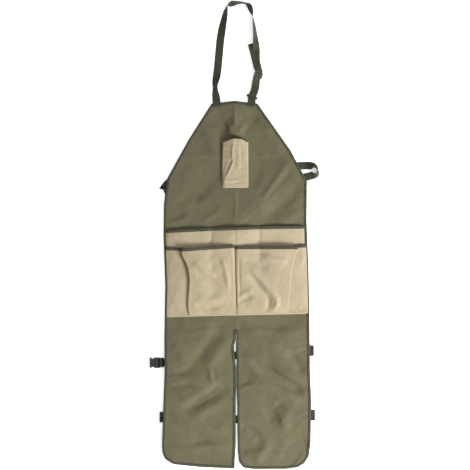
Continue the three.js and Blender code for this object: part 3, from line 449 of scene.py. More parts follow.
def taped(name, dark, light, rib, rough):
    """Narrow woven tape: ribs across its length, selvedge lines along its edges. UV in metres: u across, v along."""
    m, nt, b = nodes_of(name, rough, 0.08, 0.3)
    uv = nt.nodes.new("ShaderNodeUVMap")
    uv.uv_map = "run"
    sep = nt.nodes.new("ShaderNodeSeparateXYZ")
    nt.links.new(uv.outputs[0], sep.inputs[0])
    tc = nt.nodes.new("ShaderNodeTexCoord")
    ribs = math_node(nt, "SINE", math_node(nt, "MULTIPLY", sep.outputs[1], 2 * math.pi / (rib / 1000)))
    cross = math_node(nt, "SINE", math_node(nt, "MULTIPLY", sep.outputs[0], 2 * math.pi / 0.0011))
    height = math_node(nt, "MULTIPLY_ADD", cross, 0.35, ribs)
    mottle = noise(nt, tc.outputs["Object"], 60, 3, 0.6)
    col = ramp(nt, mottle, [(0.35, dark), (0.65, light)])
    # painted shade: the tape's colour is darkened in the troughs between its ribs
    groove_shade = ramp(nt, math_node(nt, "MULTIPLY_ADD", ribs, 0.5, 0.5), [(0.0, (0.78, 0.78, 0.78)), (1.0, (1, 1, 1))])
    nt.links.new(mix_colour(nt, 1.0, col, groove_shade, "MULTIPLY"), b.inputs["Base Color"])
    bump(nt, b, height, 0.35, 0.00025)
    return m


def webbed(name, dark, light, rough):
    """Flat webbing: a herringbone of ribs that lean one way and the other across it. UV in metres: u across, v along."""
    m, nt, b = nodes_of(name, rough, 0.03, 0.25)
    uv = nt.nodes.new("ShaderNodeUVMap")
    uv.uv_map = "run"
    sep = nt.nodes.new("ShaderNodeSeparateXYZ")
    nt.links.new(uv.outputs[0], sep.inputs[0])
    tc = nt.nodes.new("ShaderNodeTexCoord")
    zig = math_node(nt, "PINGPONG", sep.outputs[0], 0.0031)
    lean = math_node(nt, "ADD", sep.outputs[1], math_node(nt, "MULTIPLY", zig, 0.9))
    ribs = math_node(nt, "SINE", math_node(nt, "MULTIPLY", lean, 2 * math.pi / 0.0016))
    wales = math_node(nt, "COSINE", math_node(nt, "MULTIPLY", sep.outputs[0], 2 * math.pi / 0.0062))
    height = math_node(nt, "MULTIPLY_ADD", wales, 0.4, ribs)
    mottle = noise(nt, tc.outputs["Object"], 120, 3, 0.6)
    col = ramp(nt, mottle, [(0.35, dark), (0.68, light)])
    # painted shade: the webbing's colour is darkened in the troughs between its ribs
    groove_shade = ramp(nt, math_node(nt, "MULTIPLY_ADD", ribs, 0.5, 0.5), [(0.0, (0.7, 0.7, 0.7)), (1.0, (1, 1, 1))])
    nt.links.new(mix_colour(nt, 1.0, col, groove_shade, "MULTIPLY"), b.inputs["Base Color"])
    bump(nt, b, height, 0.4, 0.0003)
    return m


def moulded(name, colour, rough):
    """Moulded plastic: a fine spark-eroded grain, with the gloss a little uneven from handling."""
    m, nt, b = nodes_of(name, rough, 0, 0.5)
    tc = nt.nodes.new("ShaderNodeTexCoord")
    grain = noise(nt, tc.outputs["Object"], 1900, 2, 0.5)
    rub = noise(nt, tc.outputs["Object"], 130, 3, 0.6)
    lo, hi = tuple(c * 0.85 for c in colour), tuple(min(1, c * 1.35) for c in colour)
    nt.links.new(ramp(nt, rub, [(0.3, lo), (0.7, hi)]), b.inputs["Base Color"])
    gloss = nt.nodes.new("ShaderNodeMapRange")
    gloss.inputs[3].default_value = rough - 0.1
    gloss.inputs[4].default_value = rough + 0.12
    nt.links.new(rub, gloss.inputs[0])
    nt.links.new(gloss.outputs[0], b.inputs["Roughness"])
    bump(nt, b, grain, 0.12, 0.0002)
    return m


def thread(name, colour):
    m, nt, b = nodes_of(name, 0.7, 0.1, 0.3)
    tc = nt.nodes.new("ShaderNodeTexCoord")
    f = noise(nt, tc.outputs["Object"], 900, 2, 0.5)
    lo, hi = tuple(c * 0.8 for c in colour), tuple(min(1, c * 1.2) for c in colour)
    nt.links.new(ramp(nt, f, [(0.35, lo), (0.65, hi)]), b.inputs["Base Color"])
    bump(nt, b, f, 0.2, 0.0002)
    return m


OLIVE = woven("olive_oxford", (0.070, 0.063, 0.031), (0.100, 0.0905, 0.046), (0.132, 0.122, 0.064), 0.62, 0.8, 0.1)
TAN = woven("tan_oxford", (0.275, 0.222, 0.142), (0.342, 0.282, 0.186), (0.405, 0.341, 0.231), 0.62, 0.85, 0.08)
TAPE = taped("edge_tape", (0.042, 0.040, 0.023), (0.060, 0.057, 0.034), 1.3, 0.72)
WEB = webbed("webbing", (0.026, 0.031, 0.017), (0.046, 0.054, 0.031), 0.74)
BLACK = moulded("black_plastic", (0.016, 0.016, 0.016), 0.5)
THREAD_DARK = thread("olive_thread", (0.075, 0.075, 0.05))
THREAD_TAN = thread("tan_thread", (0.2, 0.158, 0.098))


# ---------------------------------------------------------------- mesh builders
def make(name, verts, faces, mat, uv=None, flat=False):
    """A mesh object from points in millimetres. uv is one (u, v) in metres to each point."""
    me = bpy.data.meshes.new(name)
    v = (np.asarray(verts, float) / 1000).tolist()
    me.from_pydata(v, [], faces if isinstance(faces, list) else faces.tolist())
    if uv is not None:
        layer = me.uv_layers.new(name="run")
        idx = np.empty(len(me.loops), np.int32)
        me.loops.foreach_get("vertex_index", idx)
        layer.data.foreach_set("uv", np.asarray(uv, np.float32)[idx].ravel())
    me.polygons.foreach_set("use_smooth", [not flat] * len(me.polygons))
    me.update()
    ob = bpy.data.objects.new(name, me)
    bpy.context.scene.collection.objects.link(ob)
    me.materials.append(mat)
    return ob


def grid_normals(G):
    gu = np.gradient(G, axis=1)
    gv = np.gradient(G, axis=0)
    n = np.cross(gu, gv)
    n /= np.linalg.norm(n, axis=2)[..., None] + 1e-12
    return n if n[..., 2].mean() > 0 else -n


def run_lengths(G):
    """(u, v) in metres along the rows and columns of a grid."""
    du = np.linalg.norm(np.diff(G, axis=1), axis=2).cumsum(1)
    dv = np.linalg.norm(np.diff(G, axis=0), axis=2).cumsum(0)
    u = np.concatenate([np.zeros((G.shape[0], 1)), du], 1)
    v = np.concatenate([np.zeros((1, G.shape[1])), dv], 0)
    return np.stack([u, v], 2) / 1000


def sheet_mesh(name, G, thick, mat):
    """A closed sheet of that thickness about a grid of points."""
    ny, nx = G.shape[:2]
    N = grid_normals(G)
    top, low = G + N * thick / 2, G - N * thick / 2
    verts = np.concatenate([top.reshape(-1, 3), low.reshape(-1, 3)])
    i = np.arange(nx * ny).reshape(ny, nx)
    a, b, c, d = i[:-1, :-1].ravel(), i[:-1, 1:].ravel(), i[1:, 1:].ravel(), i[1:, :-1].ravel()
    k = nx * ny
    up = np.stack([a, b, c, d], 1)
    z = np.cross(top[0, 1] - top[0, 0], top[1, 0] - top[0, 0])
    if z @ N[0, 0] < 0:
        up = up[:, ::-1]
    dn = (up + k)[:, ::-1]
    rim = np.concatenate([i[0, :], i[1:, -1], i[-1, -2::-1], i[-2:0:-1, 0]])
    nxt = np.roll(rim, -1)
    walls = np.stack([rim, rim + k, nxt + k, nxt], 1)
    if z @ N[0, 0] < 0:
        walls = walls[:, ::-1]
    uv = run_lengths(G).reshape(-1, 2)
    ob = make(name, verts, np.concatenate([up, dn, walls]), mat, np.concatenate([uv, uv]))
    return ob


def tube_mesh(name, S, mat, uv, ring=False, caps=True):
    """A solid through sections: S is (sections, points round each, 3)."""
    n, k = S.shape[:2]
    i = np.arange(n * k).reshape(n, k)
    j = np.roll(i, -1, 1)
    if ring:
        i2, j2 = np.roll(i, -1, 0), np.roll(j, -1, 0)
        f = np.stack([i.ravel(), j.ravel(), j2.ravel(), i2.ravel()], 1)
    else:
        f = np.stack([i[:-1].ravel(), j[:-1].ravel(), j[1:].ravel(), i[1:].ravel()], 1)
    faces = f.tolist()
    if caps and not ring:
        faces.append(i[0, ::-1].tolist())
        faces.append(i[-1].tolist())
    ob = make(name, S.reshape(-1, 3), faces, mat, uv.reshape(-1, 2))
    me = ob.data
    me.calc_loop_triangles()
    vol = 0.0
    co = S.reshape(-1, 3)
    q = np.array(f)
    vol = (np.cross(co[q[:, 0]], co[q[:, 1]]) * co[q[:, 2]]).sum() + (np.cross(co[q[:, 0]], co[q[:, 2]]) * co[q[:, 3]]).sum()
    if vol < 0:
        me.flip_normals()
    return ob


STITCHES = {}


def stitch_line(group, pts, normals, pitch=3.6, length=2.9, half=0.32, offset=0.0):
    """Adds stitches along a line of points to a group, lying half sunk in the cloth."""
    pts, normals = np.asarray(pts, float), np.asarray(normals, float)
    d = np.linalg.norm(np.diff(pts, axis=0), axis=1)
    s = np.concatenate([[0], d.cumsum()])
    if s[-1] < pitch:
        return
    count = int(s[-1] / pitch)
    mid = (np.arange(count) + 0.5) * (s[-1] / count)
    at = np.stack([np.interp(mid, s, pts[:, k]) for k in range(3)], 1)
    a0 = np.stack([np.interp(mid - length / 2, s, pts[:, k]) for k in range(3)], 1)
    a1 = np.stack([np.interp(mid + length / 2, s, pts[:, k]) for k in range(3)], 1)
    nm = np.stack([np.interp(mid, s, normals[:, k]) for k in range(3)], 1)
    nm /= np.linalg.norm(nm, axis=1)[:, None]
    way = a1 - a0
    way /= np.linalg.norm(way, axis=1)[:, None] + 1e-9
    side = np.cross(way, nm)
    side /= np.linalg.norm(side, axis=1)[:, None] + 1e-9
    at = at + nm * (offset + 0.12)
    verts, faces = STITCHES.setdefault(group, ([], []))
    for p, w, sd, n in zip(at, way, side, nm):
        k = len(verts)
        verts.append(p - w * length / 2 - n * 0.25)
        for t, r in ((-0.3, 0.85), (0.3, 0.85)):
            for cs, sn in ((1, 0), (0, 1), (-1, 0), (0, -1)):
                verts.append(p + w * length * t + (sd * cs + n * sn * 0.8) * half * r + n * 0.04)
        verts.append(p + w * length / 2 - n * 0.25)
        for c in range(4):
            e = (c + 1) % 4
            faces.append((k, k + 1 + e, k + 1 + c))
            faces.append((k + 1 + c, k + 1 + e, k + 5 + e, k + 5 + c))
            faces.append((k + 5 + c, k + 5 + e, k + 9))


def sew(group, name, mat):
    verts, faces = STITCHES[group]
    return make(name, verts, faces, mat)


def surface_line(G, N, row=None, col=None, thick=0.0):
    """A row or column of a sheet's grid as (points, normals) on its upper face."""
    g = G[row] if row is not None else G[:, col]
    n = N[row] if row is not None else N[:, col]
    return g + n * thick / 2, n


# ---------------------------------------------------------------- body panel
def nearest_on(poly, p):
    a, b = poly, np.roll(poly, -1, 0)
    d = b - a
    t = np.clip(((p - a) * d).sum(1) / (d * d).sum(1), 0, 1)
    c = a + d * t[:, None]
    return c[((c - p) ** 2).sum(1).argmin()]


CLOTH = 1.2
POCKET_CLOTH = 0.9
TAPE_THICK = 0.8
TAPE_WIDTH = 9.0


def floor_safe(h, low=1.75):
    return low + 0.4 * np.log1p(np.exp(np.clip((h - low) / 0.4, -30, 30)))


def ground(x, y, fine=1.0):
    """Height of the middle of the panel, never sinking into what it lies on."""
    return floor_safe(cloth(np.asarray(x, float), np.asarray(y, float), fine))


def body_panel():
    step = 4.0
    border = inset(EDGE, 1.4)
    xs = np.arange(-246, 250, step)
    ys = np.arange(-750, 430, step)
    gx, gy = np.meshgrid(xs, ys)
    ok = inside(gx, gy, border)
    cell = ok[:-1, :-1] & ok[:-1, 1:] & ok[1:, 1:] & ok[1:, :-1]
    used = np.zeros(ok.shape, bool)
    for dj in (0, 1):
        for di in (0, 1):
            used[dj : dj + cell.shape[0], di : di + cell.shape[1]] |= cell
    full = np.zeros(ok.shape, int)
    for dj in (0, 1):
        for di in (0, 1):
            full[dj : dj + cell.shape[0], di : di + cell.shape[1]] += cell
    rim = used & (full < 4)
    px, py = gx.copy(), gy.copy()
    for j, i in zip(*np.nonzero(rim)):
        c = nearest_on(border, np.array([gx[j, i], gy[j, i]]))
        px[j, i], py[j, i] = c
    idx = -np.ones(ok.shape, int)
    idx[used] = np.arange(used.sum())
    z = ground(px, py)
    e = 2.0
    nx = -(ground(px + e, py) - ground(px - e, py)) / (2 * e)
    ny = -(ground(px, py + e) - ground(px, py - e)) / (2 * e)
    n = np.stack([nx, ny, np.ones_like(nx)], 2)
    n /= np.linalg.norm(n, axis=2)[..., None]
    G = np.stack([px, py, z], 2)
    top, low = (G + n * CLOTH / 2)[used], (G - n * CLOTH / 2)[used]
    q = np.stack([idx[:-1, :-1][cell], idx[:-1, 1:][cell], idx[1:, 1:][cell], idx[1:, :-1][cell]], 1)
    k = int(used.sum())
    faces = [q, (q + k)[:, ::-1]]
    a = q.ravel()
    b = np.roll(q, -1, 1).ravel()
    key = {}
    for s, t in zip(a.tolist(), b.tolist()):
        key[(s, t)] = 1
    walls = [(s, s + k, t + k, t) for (s, t) in key if (t, s) not in key]
    faces = np.concatenate([*faces, np.array(walls)])
    ob = make("body_panel_cloth", np.concatenate([top, low]), faces, OLIVE)
    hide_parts("body_panel")
    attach(ob, "root")
    return ob


# ---------------------------------------------------------------- edge tape
def safe_inset(pts, d):
    q = inset(pts, d)
    a, b = pts, np.roll(pts, -1, 0)
    e = b - a
    ll = (e * e).sum(1)
    t = np.clip(((q[:, None] - a[None]) * e[None]).sum(2) / ll[None], 0, 1)
    c = a[None] + e[None] * t[..., None]
    dist = np.sqrt(((q[:, None] - c) ** 2).sum(2)).min(1)
    good = np.nonzero(dist > d * 0.975)[0]
    n = len(pts)
    for i in np.nonzero(dist <= d * 0.975)[0]:
        gap = np.minimum(np.abs(good - i), n - np.abs(good - i))
        q[i] = q[good[gap.argmin()]]
    return q


def pocket_raise(x, y):
    """The tape lies over the side of the upper pocket."""
    return 1.0 * smooth(y, -266, -256) * (1 - smooth(y, 22, 30))


def edge_tape():
    pts = EDGE
    s = np.concatenate([[0], np.linalg.norm(np.diff(pts, axis=0), axis=1).cumsum()])
    wob = lambda ph: 0.28 * np.sin(s / 17 + ph) + 0.16 * np.sin(s / 6.1 + 2 * ph)
    t, half = TAPE_THICK, CLOTH / 2 + 0.12
    levels = {d: safe_inset(pts, d) for d in (0.4, 1.3, 4.6, 8.3, TAPE_WIDTH)}
    levels[0.0] = pts

    def at(d, side, depth, w=0.0):
        p = levels[d]
        g = ground(p[:, 0], p[:, 1], 0.75)
        top = pocket_raise(p[:, 0], p[:, 1]) if side > 0 else 0
        z = g + side * (half + depth) + top + (w if side > 0 else 0)
        z = np.maximum(z, 0.06)
        return np.column_stack([p, z])

    w = wob(0.4) * 0.35
    S = np.stack(
        [
            at(TAPE_WIDTH, -1, t * 0.55), at(8.3, -1, t), at(4.6, -1, t), at(1.3, -1, t), at(0.4, -1, t * 0.6),
            at(0.0, -1, -half * 0.4), at(0.0, 1, -half * 0.2), at(0.4, 1, t * 0.6), at(1.3, 1, t), at(4.6, 1, t * 1.1, w),
            at(8.3, 1, t, w), at(TAPE_WIDTH, 1, t * 0.45, w), at(TAPE_WIDTH, 1, 0.0), at(1.3, 1, 0.0),
            at(1.3, -1, 0.0), at(TAPE_WIDTH, -1, 0.0),
        ],
        1,
    )
    across = np.array([0, 0.7, 4.4, 7.7, 8.6, 9.4, 10.4, 11.2, 12.1, 15.4, 19.1, 19.8, 20, 28, 29, 37]) / 1000
    uv = np.stack(np.broadcast_arrays(across[None, :], s[:, None] / 1000), 2)
    ob = tube_mesh("edge_tape", S, TAPE, uv, ring=True)
    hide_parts("edge_binding")
    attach(ob, "root")
    line = safe_inset(pts, 7.0)
    z = ground(line[:, 0], line[:, 1], 0.75) + half + t * 1.04 + pocket_raise(line[:, 0], line[:, 1])
    run = np.column_stack([line, z])
    run = np.concatenate([run, run[:1]])
    keep = np.concatenate([[True], np.linalg.norm(np.diff(run, axis=0), axis=1) > 0.4])
    run = run[keep]
    stitch_line("dark", run, np.tile([0, 0, 1.0], (len(run), 1)), offset=0.05)
    return ob


PANEL = body_panel()
EDGE_TAPE = edge_tape()


# ---------------------------------------------------------------- upper pocket
POCKET_BOTTOM = -258.0
UPPER_MOUTH = np.array([P(*p) for p in [(160, 230.3), (167.5, 230.1), (211.4, 227.9), (234, 227.4), (258.7, 226.3), (303.7, 225.8), (312, 225.6)]])
COMPARTMENTS = (-74.0, 80.0)
UPPER_WALLS = []


def mouth_y(x):
    return np.interp(x, UPPER_MOUTH[:, 0], UPPER_MOUTH[:, 1])


def side_edges():
    ys = np.linspace(-262, 40, 30)
    l = np.array([edge_x(y, -1) for y in ys])
    r = np.array([edge_x(y, 1) for y in ys])
    return ys, l, r


SIDE_YS, SIDE_L, SIDE_R = side_edges()


def side_x(y, side):
    return np.interp(y, SIDE_YS, SIDE_L if side < 0 else SIDE_R)


def upper_bulge(x, y):
    l, r = side_x(y, -1) + 9.9, side_x(y, 1) - 9.9
    w1, w2 = COMPARTMENTS
    u = np.where(x < w1, (x - l) / (w1 - l), np.where(x < w2, (x - w1) / (w2 - w1), (x - w2) / (r - w2)))
    u = np.clip(u, 0, 1)
    down = np.clip((mouth_y(x) - y) / 250, 0, 1)
    return 6.4 * np.sin(math.pi * u) ** 0.8 * np.cos(math.pi / 2 * down)


TAN_CREASES = [
    (-1.7, 3.4, [(234.6, 229), (235, 238), (235.2, 246)]),
    (-1.7, 3.0, [(211.3, 229), (211.5, 238), (211.6, 247)]),
    (-1.7, 3.0, [(259.6, 229), (259.7, 238), (259.8, 247)]),
    (1.0, 7, [(178, 233), (186, 238), (196, 240)]),
    (-0.8, 7, [(196, 234), (206, 239), (212, 246)]),
    (0.9, 8, [(262, 233), (270, 238), (282, 240)]),
    (-0.9, 7, [(282, 233), (290, 239), (299, 244)]),
    (0.8, 8, [(216, 233), (224, 238), (232, 236)]),
    (-0.8, 7, [(240, 240), (250, 243), (258, 241)]),
]
LOWER_CREASES = [
    (1.6, 8, [(251, 270), (259, 278), (267, 287), (274, 294), (277, 303), (272, 313)]),
    (-1.5, 7, [(249, 276), (257, 284), (264, 292), (269, 301), (266, 312)]),
    (-1.2, 5, [(238, 302), (244, 299), (252, 296)]),
    (1.1, 6, [(239, 297), (246, 293), (254, 291)]),
    (1.0, 8, [(262, 255), (274, 259), (288, 262)]),
    (-0.8, 8, [(244, 260), (256, 264), (268, 270)]),
    (1.2, 7, [(194, 262), (204, 270), (216, 276)]),
    (-1.0, 7, [(196, 270), (206, 279), (220, 286)]),
    (1.0, 8, [(198, 296), (210, 300), (226, 297)]),
    (-0.9, 8, [(194, 304), (208, 308), (226, 305)]),
    (0.9, 7, [(222, 258), (226, 272), (229, 290)]),
    (-0.8, 5, [(231, 256), (232, 276), (232, 300)]),
    (-0.8, 5, [(239, 256), (239, 276), (240, 296)]),
]


def set_lines(table):
    return [(h, w, spline([P(*p) for p in line], 5)) for h, w, line in table]


def creased(x, y, lines):
    global CREASE_LINES
    keep, CREASE_LINES = CREASE_LINES, lines
    out = crease_height(x, y)
    CREASE_LINES = keep
    return out


TAN_LINES, LOWER_LINES = set_lines(TAN_CREASES), set_lines(LOWER_CREASES)


def upper_mid(x, y, fine=1.0):
    x, y = np.asarray(x, float), np.asarray(y, float)
    below = mouth_y(x) - y
    clear = 1.5 * (1 - smooth(below, 10, 44))
    seam = smooth(y, POCKET_BOTTOM, POCKET_BOTTOM + 14)
    side = smooth(x - side_x(y, -1), 4, 16) * smooth(side_x(y, 1) - x, 4, 16)
    stitched = np.ones_like(x)
    for c in COMPARTMENTS:
        stitched *= 1 - 0.8 * np.exp(-(((x - c) / 3.2) ** 2))
    soft = 0.5 * waves(x, y, 21, 62) + 0.22 * waves(x, y, 22, 27) + creased(x, y, TAN_LINES)
    z = ground(x, y, 0.5) + CLOTH / 2 + 0.18 + POCKET_CLOTH / 2
    return z + (upper_bulge(x, y) * (0.25 + 0.75 * stitched) + clear * side + fine * soft * seam * side * stitched * 0.8 + 0.5 * seam * side)


def bottom_y(x):
    return np.interp(x, [X(169), X(233.5), X(305.6)], [Y(317), Y(315.3), Y(313.7)])


def upper_pocket():
    nx, ny = ((170, 100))
    t = np.linspace(0, 1, ny) ** 1.15
    G = np.zeros((ny, nx, 3))
    u = np.linspace(0, 1, nx)
    for j, tj in enumerate(t):
        ymid = 22 + (POCKET_BOTTOM - 22) * tj
        l, r = side_x(ymid, -1) + 5.0, side_x(ymid, 1) - 5.0
        x = l + (r - l) * u
        top = mouth_y(x) - 1.0
        y = top + (bottom_y(x) - 0.6 - top) * tj
        G[j, :, 0], G[j, :, 1] = x, y
    G[..., 2] = upper_mid(G[..., 0], G[..., 1])
    return G


def bound_lip(name, G, thick, depth, replaces, pitch=3.6, stitch_row=True):
    """Edge tape folded over the first row of a sheet and sewn: out over its face, down its back."""
    N = grid_normals(G)
    v = run_lengths(G)[..., 1] * 1000
    nx = G.shape[1]

    def on(dist, off):
        p = np.zeros((nx, 3))
        for i in range(nx):
            for k in range(3):
                p[i, k] = np.interp(dist, v[:, i], G[:, i, k] + N[:, i, k] * off)
        return p

    up = G[0] - G[1]
    up /= np.linalg.norm(up, axis=1)[:, None]
    h = thick / 2 + 0.1
    o = h + TAPE_THICK
    s = np.concatenate([[0], np.linalg.norm(np.diff(G[0], axis=0), axis=1).cumsum()])
    wob = (0.22 * np.sin(s / 13) + 0.12 * np.sin(s / 5.3 + 1))[:, None]
    n0 = N[0]
    S = np.stack(
        [
            on(depth, o * 0.9 - 0.2) + wob * 0.2 * n0, on(depth - 0.6, o), on(depth * 0.5, o * 1.04) + wob * 0.3 * n0, on(0.6, o),
            G[0] + n0 * o * 0.75 + up * 0.75, G[0] + up * 1.15, G[0] - n0 * o * 0.75 + up * 0.75,
            on(0.6, -o), on(depth * 0.5, -o), on(depth, -o * 0.9), on(depth, -h), on(0.1, -h), on(0.1, h), on(depth, h),
        ],
        1,
    )
    across = np.array([0, 0.6, 4, 7.4, 8.5, 9.5, 10.5, 11.6, 15.6, 19.6, 20, 28, 29, 37]) / 1000
    uv = np.stack(np.broadcast_arrays(across[None, :], s[:, None] / 1000), 2)
    ob = tube_mesh(name, S, TAPE, uv)
    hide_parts(replaces)
    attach(ob, "root")
    if stitch_row:
        stitch_line("dark", on(depth - 1.7, o + 0.02), n0, pitch)
    return ob


UPPER_G = upper_pocket()
UPPER = sheet_mesh("upper_pocket_cloth", UPPER_G, POCKET_CLOTH, TAN)
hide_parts("upper_pocket")
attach(UPPER, "root")
UPPER_TAPE = bound_lip("upper_pocket_tape", UPPER_G, POCKET_CLOTH, 8.4, "upper_pocket_binding")


# ---------------------------------------------------------------- lower pockets
# y, x of the pleat's edge, air beneath, the pleat edge's lower and upper height, belly, extra height of the gusset's mouth
LOWER = {
    -1: [
        (-44.5, -168, 2.6, 6.4, 10.6, 1, 4), (-53, -168, 2.6, 6.4, 10.6, 1, 4), (-66, -166, 2.4, 6.2, 10.4, 1, 3),
        (-100, -150.6, 2.2, 5.4, 10.4, 1, 1), (-145, -143.5, 2.0, 4.4, 8.6, 0.95, 0), (-222, -148.6, 1.4, 2.4, 5.4, 0.7, 0),
        (-258, -144, 0.9, 1.4, 3.2, 0, 0),
    ],
    1: [
        (-37, 201.5, 3.0, 5.0, 8.6, 1, 6), (-45.5, 201.5, 3.0, 5.0, 8.6, 1, 6), (-60, 197, 2.4, 4.6, 8.2, 1, 4),
        (-100, 187, 2.0, 3.8, 7.4, 1, 1), (-145, 181, 1.8, 3.4, 6.4, 0.95, 0), (-222, 173, 1.4, 2.4, 5.4, 0.7, 0),
        (-256, 170.5, 0.9, 1.4, 3.2, 0, 0),
    ],
}
DIVIDER = 0.8


def divider_x(y):
    return np.interp(y, [Y(313.7), Y(269), Y(247.5)], [X(236.8), X(235.3), X(234.7)])


def lower_grid(side):
    per_row = 11
    per_col = 10
    table = np.array(LOWER[side], float)
    rows = spline(table, per_row)
    rows[:, 5] = np.clip(rows[:, 5], 0, 1.05)
    out = []
    y0, y1 = rows[0, 0], rows[-1, 0]
    for y, fold, clear, low, top, belly, gusset in rows:
        outer = side_x(y, side) - side * 5.0
        div = divider_x(y)
        inner = div + side * 1.5
        turn = fold - side * 9
        w = inner - fold
        rise = max(min(4.0, low * 0.55), 0.9)
        share = (y - y0) / (y1 - y0)
        c = [
            (outer, 0, gusset), ((outer + turn) / 2, 0.6 * (1 - share), gusset * 0.8), (turn + side * 4, 0.2, gusset * 0.65),
            (turn, 0.2, gusset * 0.6), (turn - side * 0.6, rise * 0.5, gusset * 0.5), (turn, rise, gusset * 0.4), (fold - side * 3, low * 0.9, gusset * 0.1),
            (fold, (low + top) / 2, 0.4), (fold - side * 1.4, top, 0.2), (fold - side * 10, top * 1.04, 0),
            (fold + w * 0.18, top * (0.85 + 0.27 * belly), 0), (fold + w * 0.45, top * 0.97 * belly, 0),
            (fold + w * 0.72, top * 0.6 * belly, 0), (fold + w * 0.88, top * 0.34 * belly, 0),
            (fold + w * 0.965, top * 0.2 * belly + 0.5 * belly, 0), (inner, 0, 0),
        ]
        line = spline(np.array(c), per_col)
        x = line[:, 0]
        base = bottom_y(x) - POCKET_BOTTOM
        yy = y + line[:, 2] + base * share
        if side < 0:
            yy = yy + 11.5 * np.clip((x - fold) / w, 0, 1) * (1 - share)
        out.append(np.column_stack([x, yy, np.maximum(line[:, 1], 0), np.full(len(x), clear), np.full(len(x), share)]))
    A = np.array(out)
    x, y, z, clear, share = np.moveaxis(A, 2, 0)
    edge_fade = smooth(np.abs(x - DIVIDER), 2, 22) * smooth(np.abs(side_x(y, side) - x), 6, 18)
    low_fade = 1 - smooth(share, 0.93, 1.0)
    soft = 3.6 * creased(x, y, LOWER_LINES) + 1.0 * waves(x, y, 31 + side, 76) + 0.35 * waves(x, y, 33 + side, 32)
    near = np.minimum(1, np.abs(x - np.interp(y, [-258, -145, -100, -44], [f[1] for f in (LOWER[side][6], LOWER[side][4], LOWER[side][3], LOWER[side][0])])) / 26)
    rim = smooth(share, 0.0, 0.12)
    rise = ground(x, y, 0.25) + CLOTH / 2 + 0.18 + POCKET_CLOTH + (upper_bulge(x, y) * 0.9 + 0.55)
    clear = clear * (0.3 + 0.7 * smooth(np.abs(x - DIVIDER), 0, 12)) * (0.4 + 0.6 * smooth(np.abs(side_x(y, side) - x), 5, 20))
    Z = rise + POCKET_CLOTH / 2 + clear * (1 - 0.75 * smooth(share, 0.8, 1)) + z * (1 - 0.6 * smooth(share, 0.94, 1)) + soft * edge_fade * low_fade * (0.3 + 0.7 * near) * (0.35 + 0.65 * rim)
    return np.stack([x, y, Z], 2)


LOWER_G = {}
for side, word in ((-1, "left"), (1, "right")):
    g = lower_grid(side)
    LOWER_G[side] = g
    ob = sheet_mesh(f"lower_pocket_{word}_cloth", g, POCKET_CLOTH, TAN)
    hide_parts(f"lower_pocket_{word}")
    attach(ob, "root")
    bound_lip(f"lower_pocket_{word}_tape", g, POCKET_CLOTH, 9.0, f"lower_pocket_binding_{word}")

# ---------------------------------------------------------------- chest pocket
CHEST = [  # y, left, right, corner height, ridge x, crest height, how far the mouth rises at the crease
    (296, -36.8, 43.8, 15, -3, 20.5, 11), (288, -37, 43.9, 15.2, -3.4, 20.8, 9), (270, -38.2, 44, 15, -5, 20.4, 4), (250, -38.5, 44.1, 14, -6.6, 19.4, 1),
    (232, -38.8, 44.2, 13, -7, 18.4, 0), (208, -39.8, 44.4, 11, -18, 15.6, 0), (184, -39.6, 44.5, 8.4, -29, 11, 0), (166, -38.4, 44.4, 5.8, -31, 7, 0),
    (156, -37.6, 44, 3.2, -30, 3.4, 0), (150.4, -36.6, 43.4, 0.3, -28, 0.3, 0),
]
CHEST_LINES = set_lines([
    (1.3, 3.5, [(234, 141), (232.6, 148), (232.2, 157), (233, 163)]),
    (-1.5, 4, [(232.4, 158), (229, 166), (225, 176)]),
    (1.3, 4, [(234, 160), (230.6, 168), (226.5, 178)]),
    (-0.9, 4, [(241, 144), (241.6, 156), (242, 170)]),
    (0.9, 5, [(238, 146), (238.4, 158), (238, 172)]),
    (1.1, 3, [(224, 179), (231, 181), (240, 179.5)]),
    (-1.2, 3, [(225, 182.5), (233, 183.5), (245, 181.5)]),
    (1.0, 3, [(238, 178), (243, 182), (246, 184)]),
    (-0.8, 3, [(231, 176), (236, 180), (242, 183)]),
])


def chest_grid():
    per_row = 11
    rows = spline(np.array(CHEST, float), per_row)
    out = []
    for y, left, right, h, ridge, crest, peak in rows:
        h, crest = max(h, 0.2), max(crest, 0.2)
        low = h * 0.62
        c = [
            (left, 0, 0), (left + 0.2, low * 0.4, 0), (left + 0.5, low * 0.75, 0), (left + 2.2, low, 0.2), (left + (ridge - left) * 0.34, low + (crest - low) * 0.3, peak * 0.3),
            (left + (ridge - left) * 0.68, low + (crest - low) * 0.66, peak * 0.72), (ridge, crest, peak), (ridge + 12, crest * 1.0, peak * 0.98),
            (ridge + 24, crest * 0.98, peak * 0.86), ((ridge + 24 + right) / 2, (crest + h) / 2, peak * 0.42), (right - 3, h, 0.2),
            (right - 0.6, h * 0.75, 0), (right - 0.2, h * 0.4, 0), (right, 0, 0),
        ]
        line = spline(np.array(c), 9)
        out.append(np.column_stack([line[:, 0], y + line[:, 2], np.maximum(line[:, 1], 0)]))
    A = np.array(out)
    x, y, z = np.moveaxis(A, 2, 0)
    body = smooth(z, 1.5, 6)
    soft = creased(x, y, CHEST_LINES) + 0.35 * waves(x, y, 41, 34) + 0.15 * waves(x, y, 42, 14)
    Z = ground(x, y, 0.4) + CLOTH / 2 + 0.15 + POCKET_CLOTH / 2 + 0.82 * z + 1.15 * soft * body
    return np.stack([x, y, Z], 2)


CHEST_G = chest_grid()
CHEST_POCKET = sheet_mesh("chest_pocket_cloth", CHEST_G, POCKET_CLOTH, TAN)
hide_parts("chest_pocket")
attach(CHEST_POCKET, "root")


# ---------------------------------------------------------------- seams
def ground_line(points, lift, fine=0.5):
    p = spline(np.array(points, float), 24)
    z = ground(p[:, 0], p[:, 1], fine) + lift
    return np.column_stack([p, z]), np.tile([0, 0, 1.0], (len(p), 1))


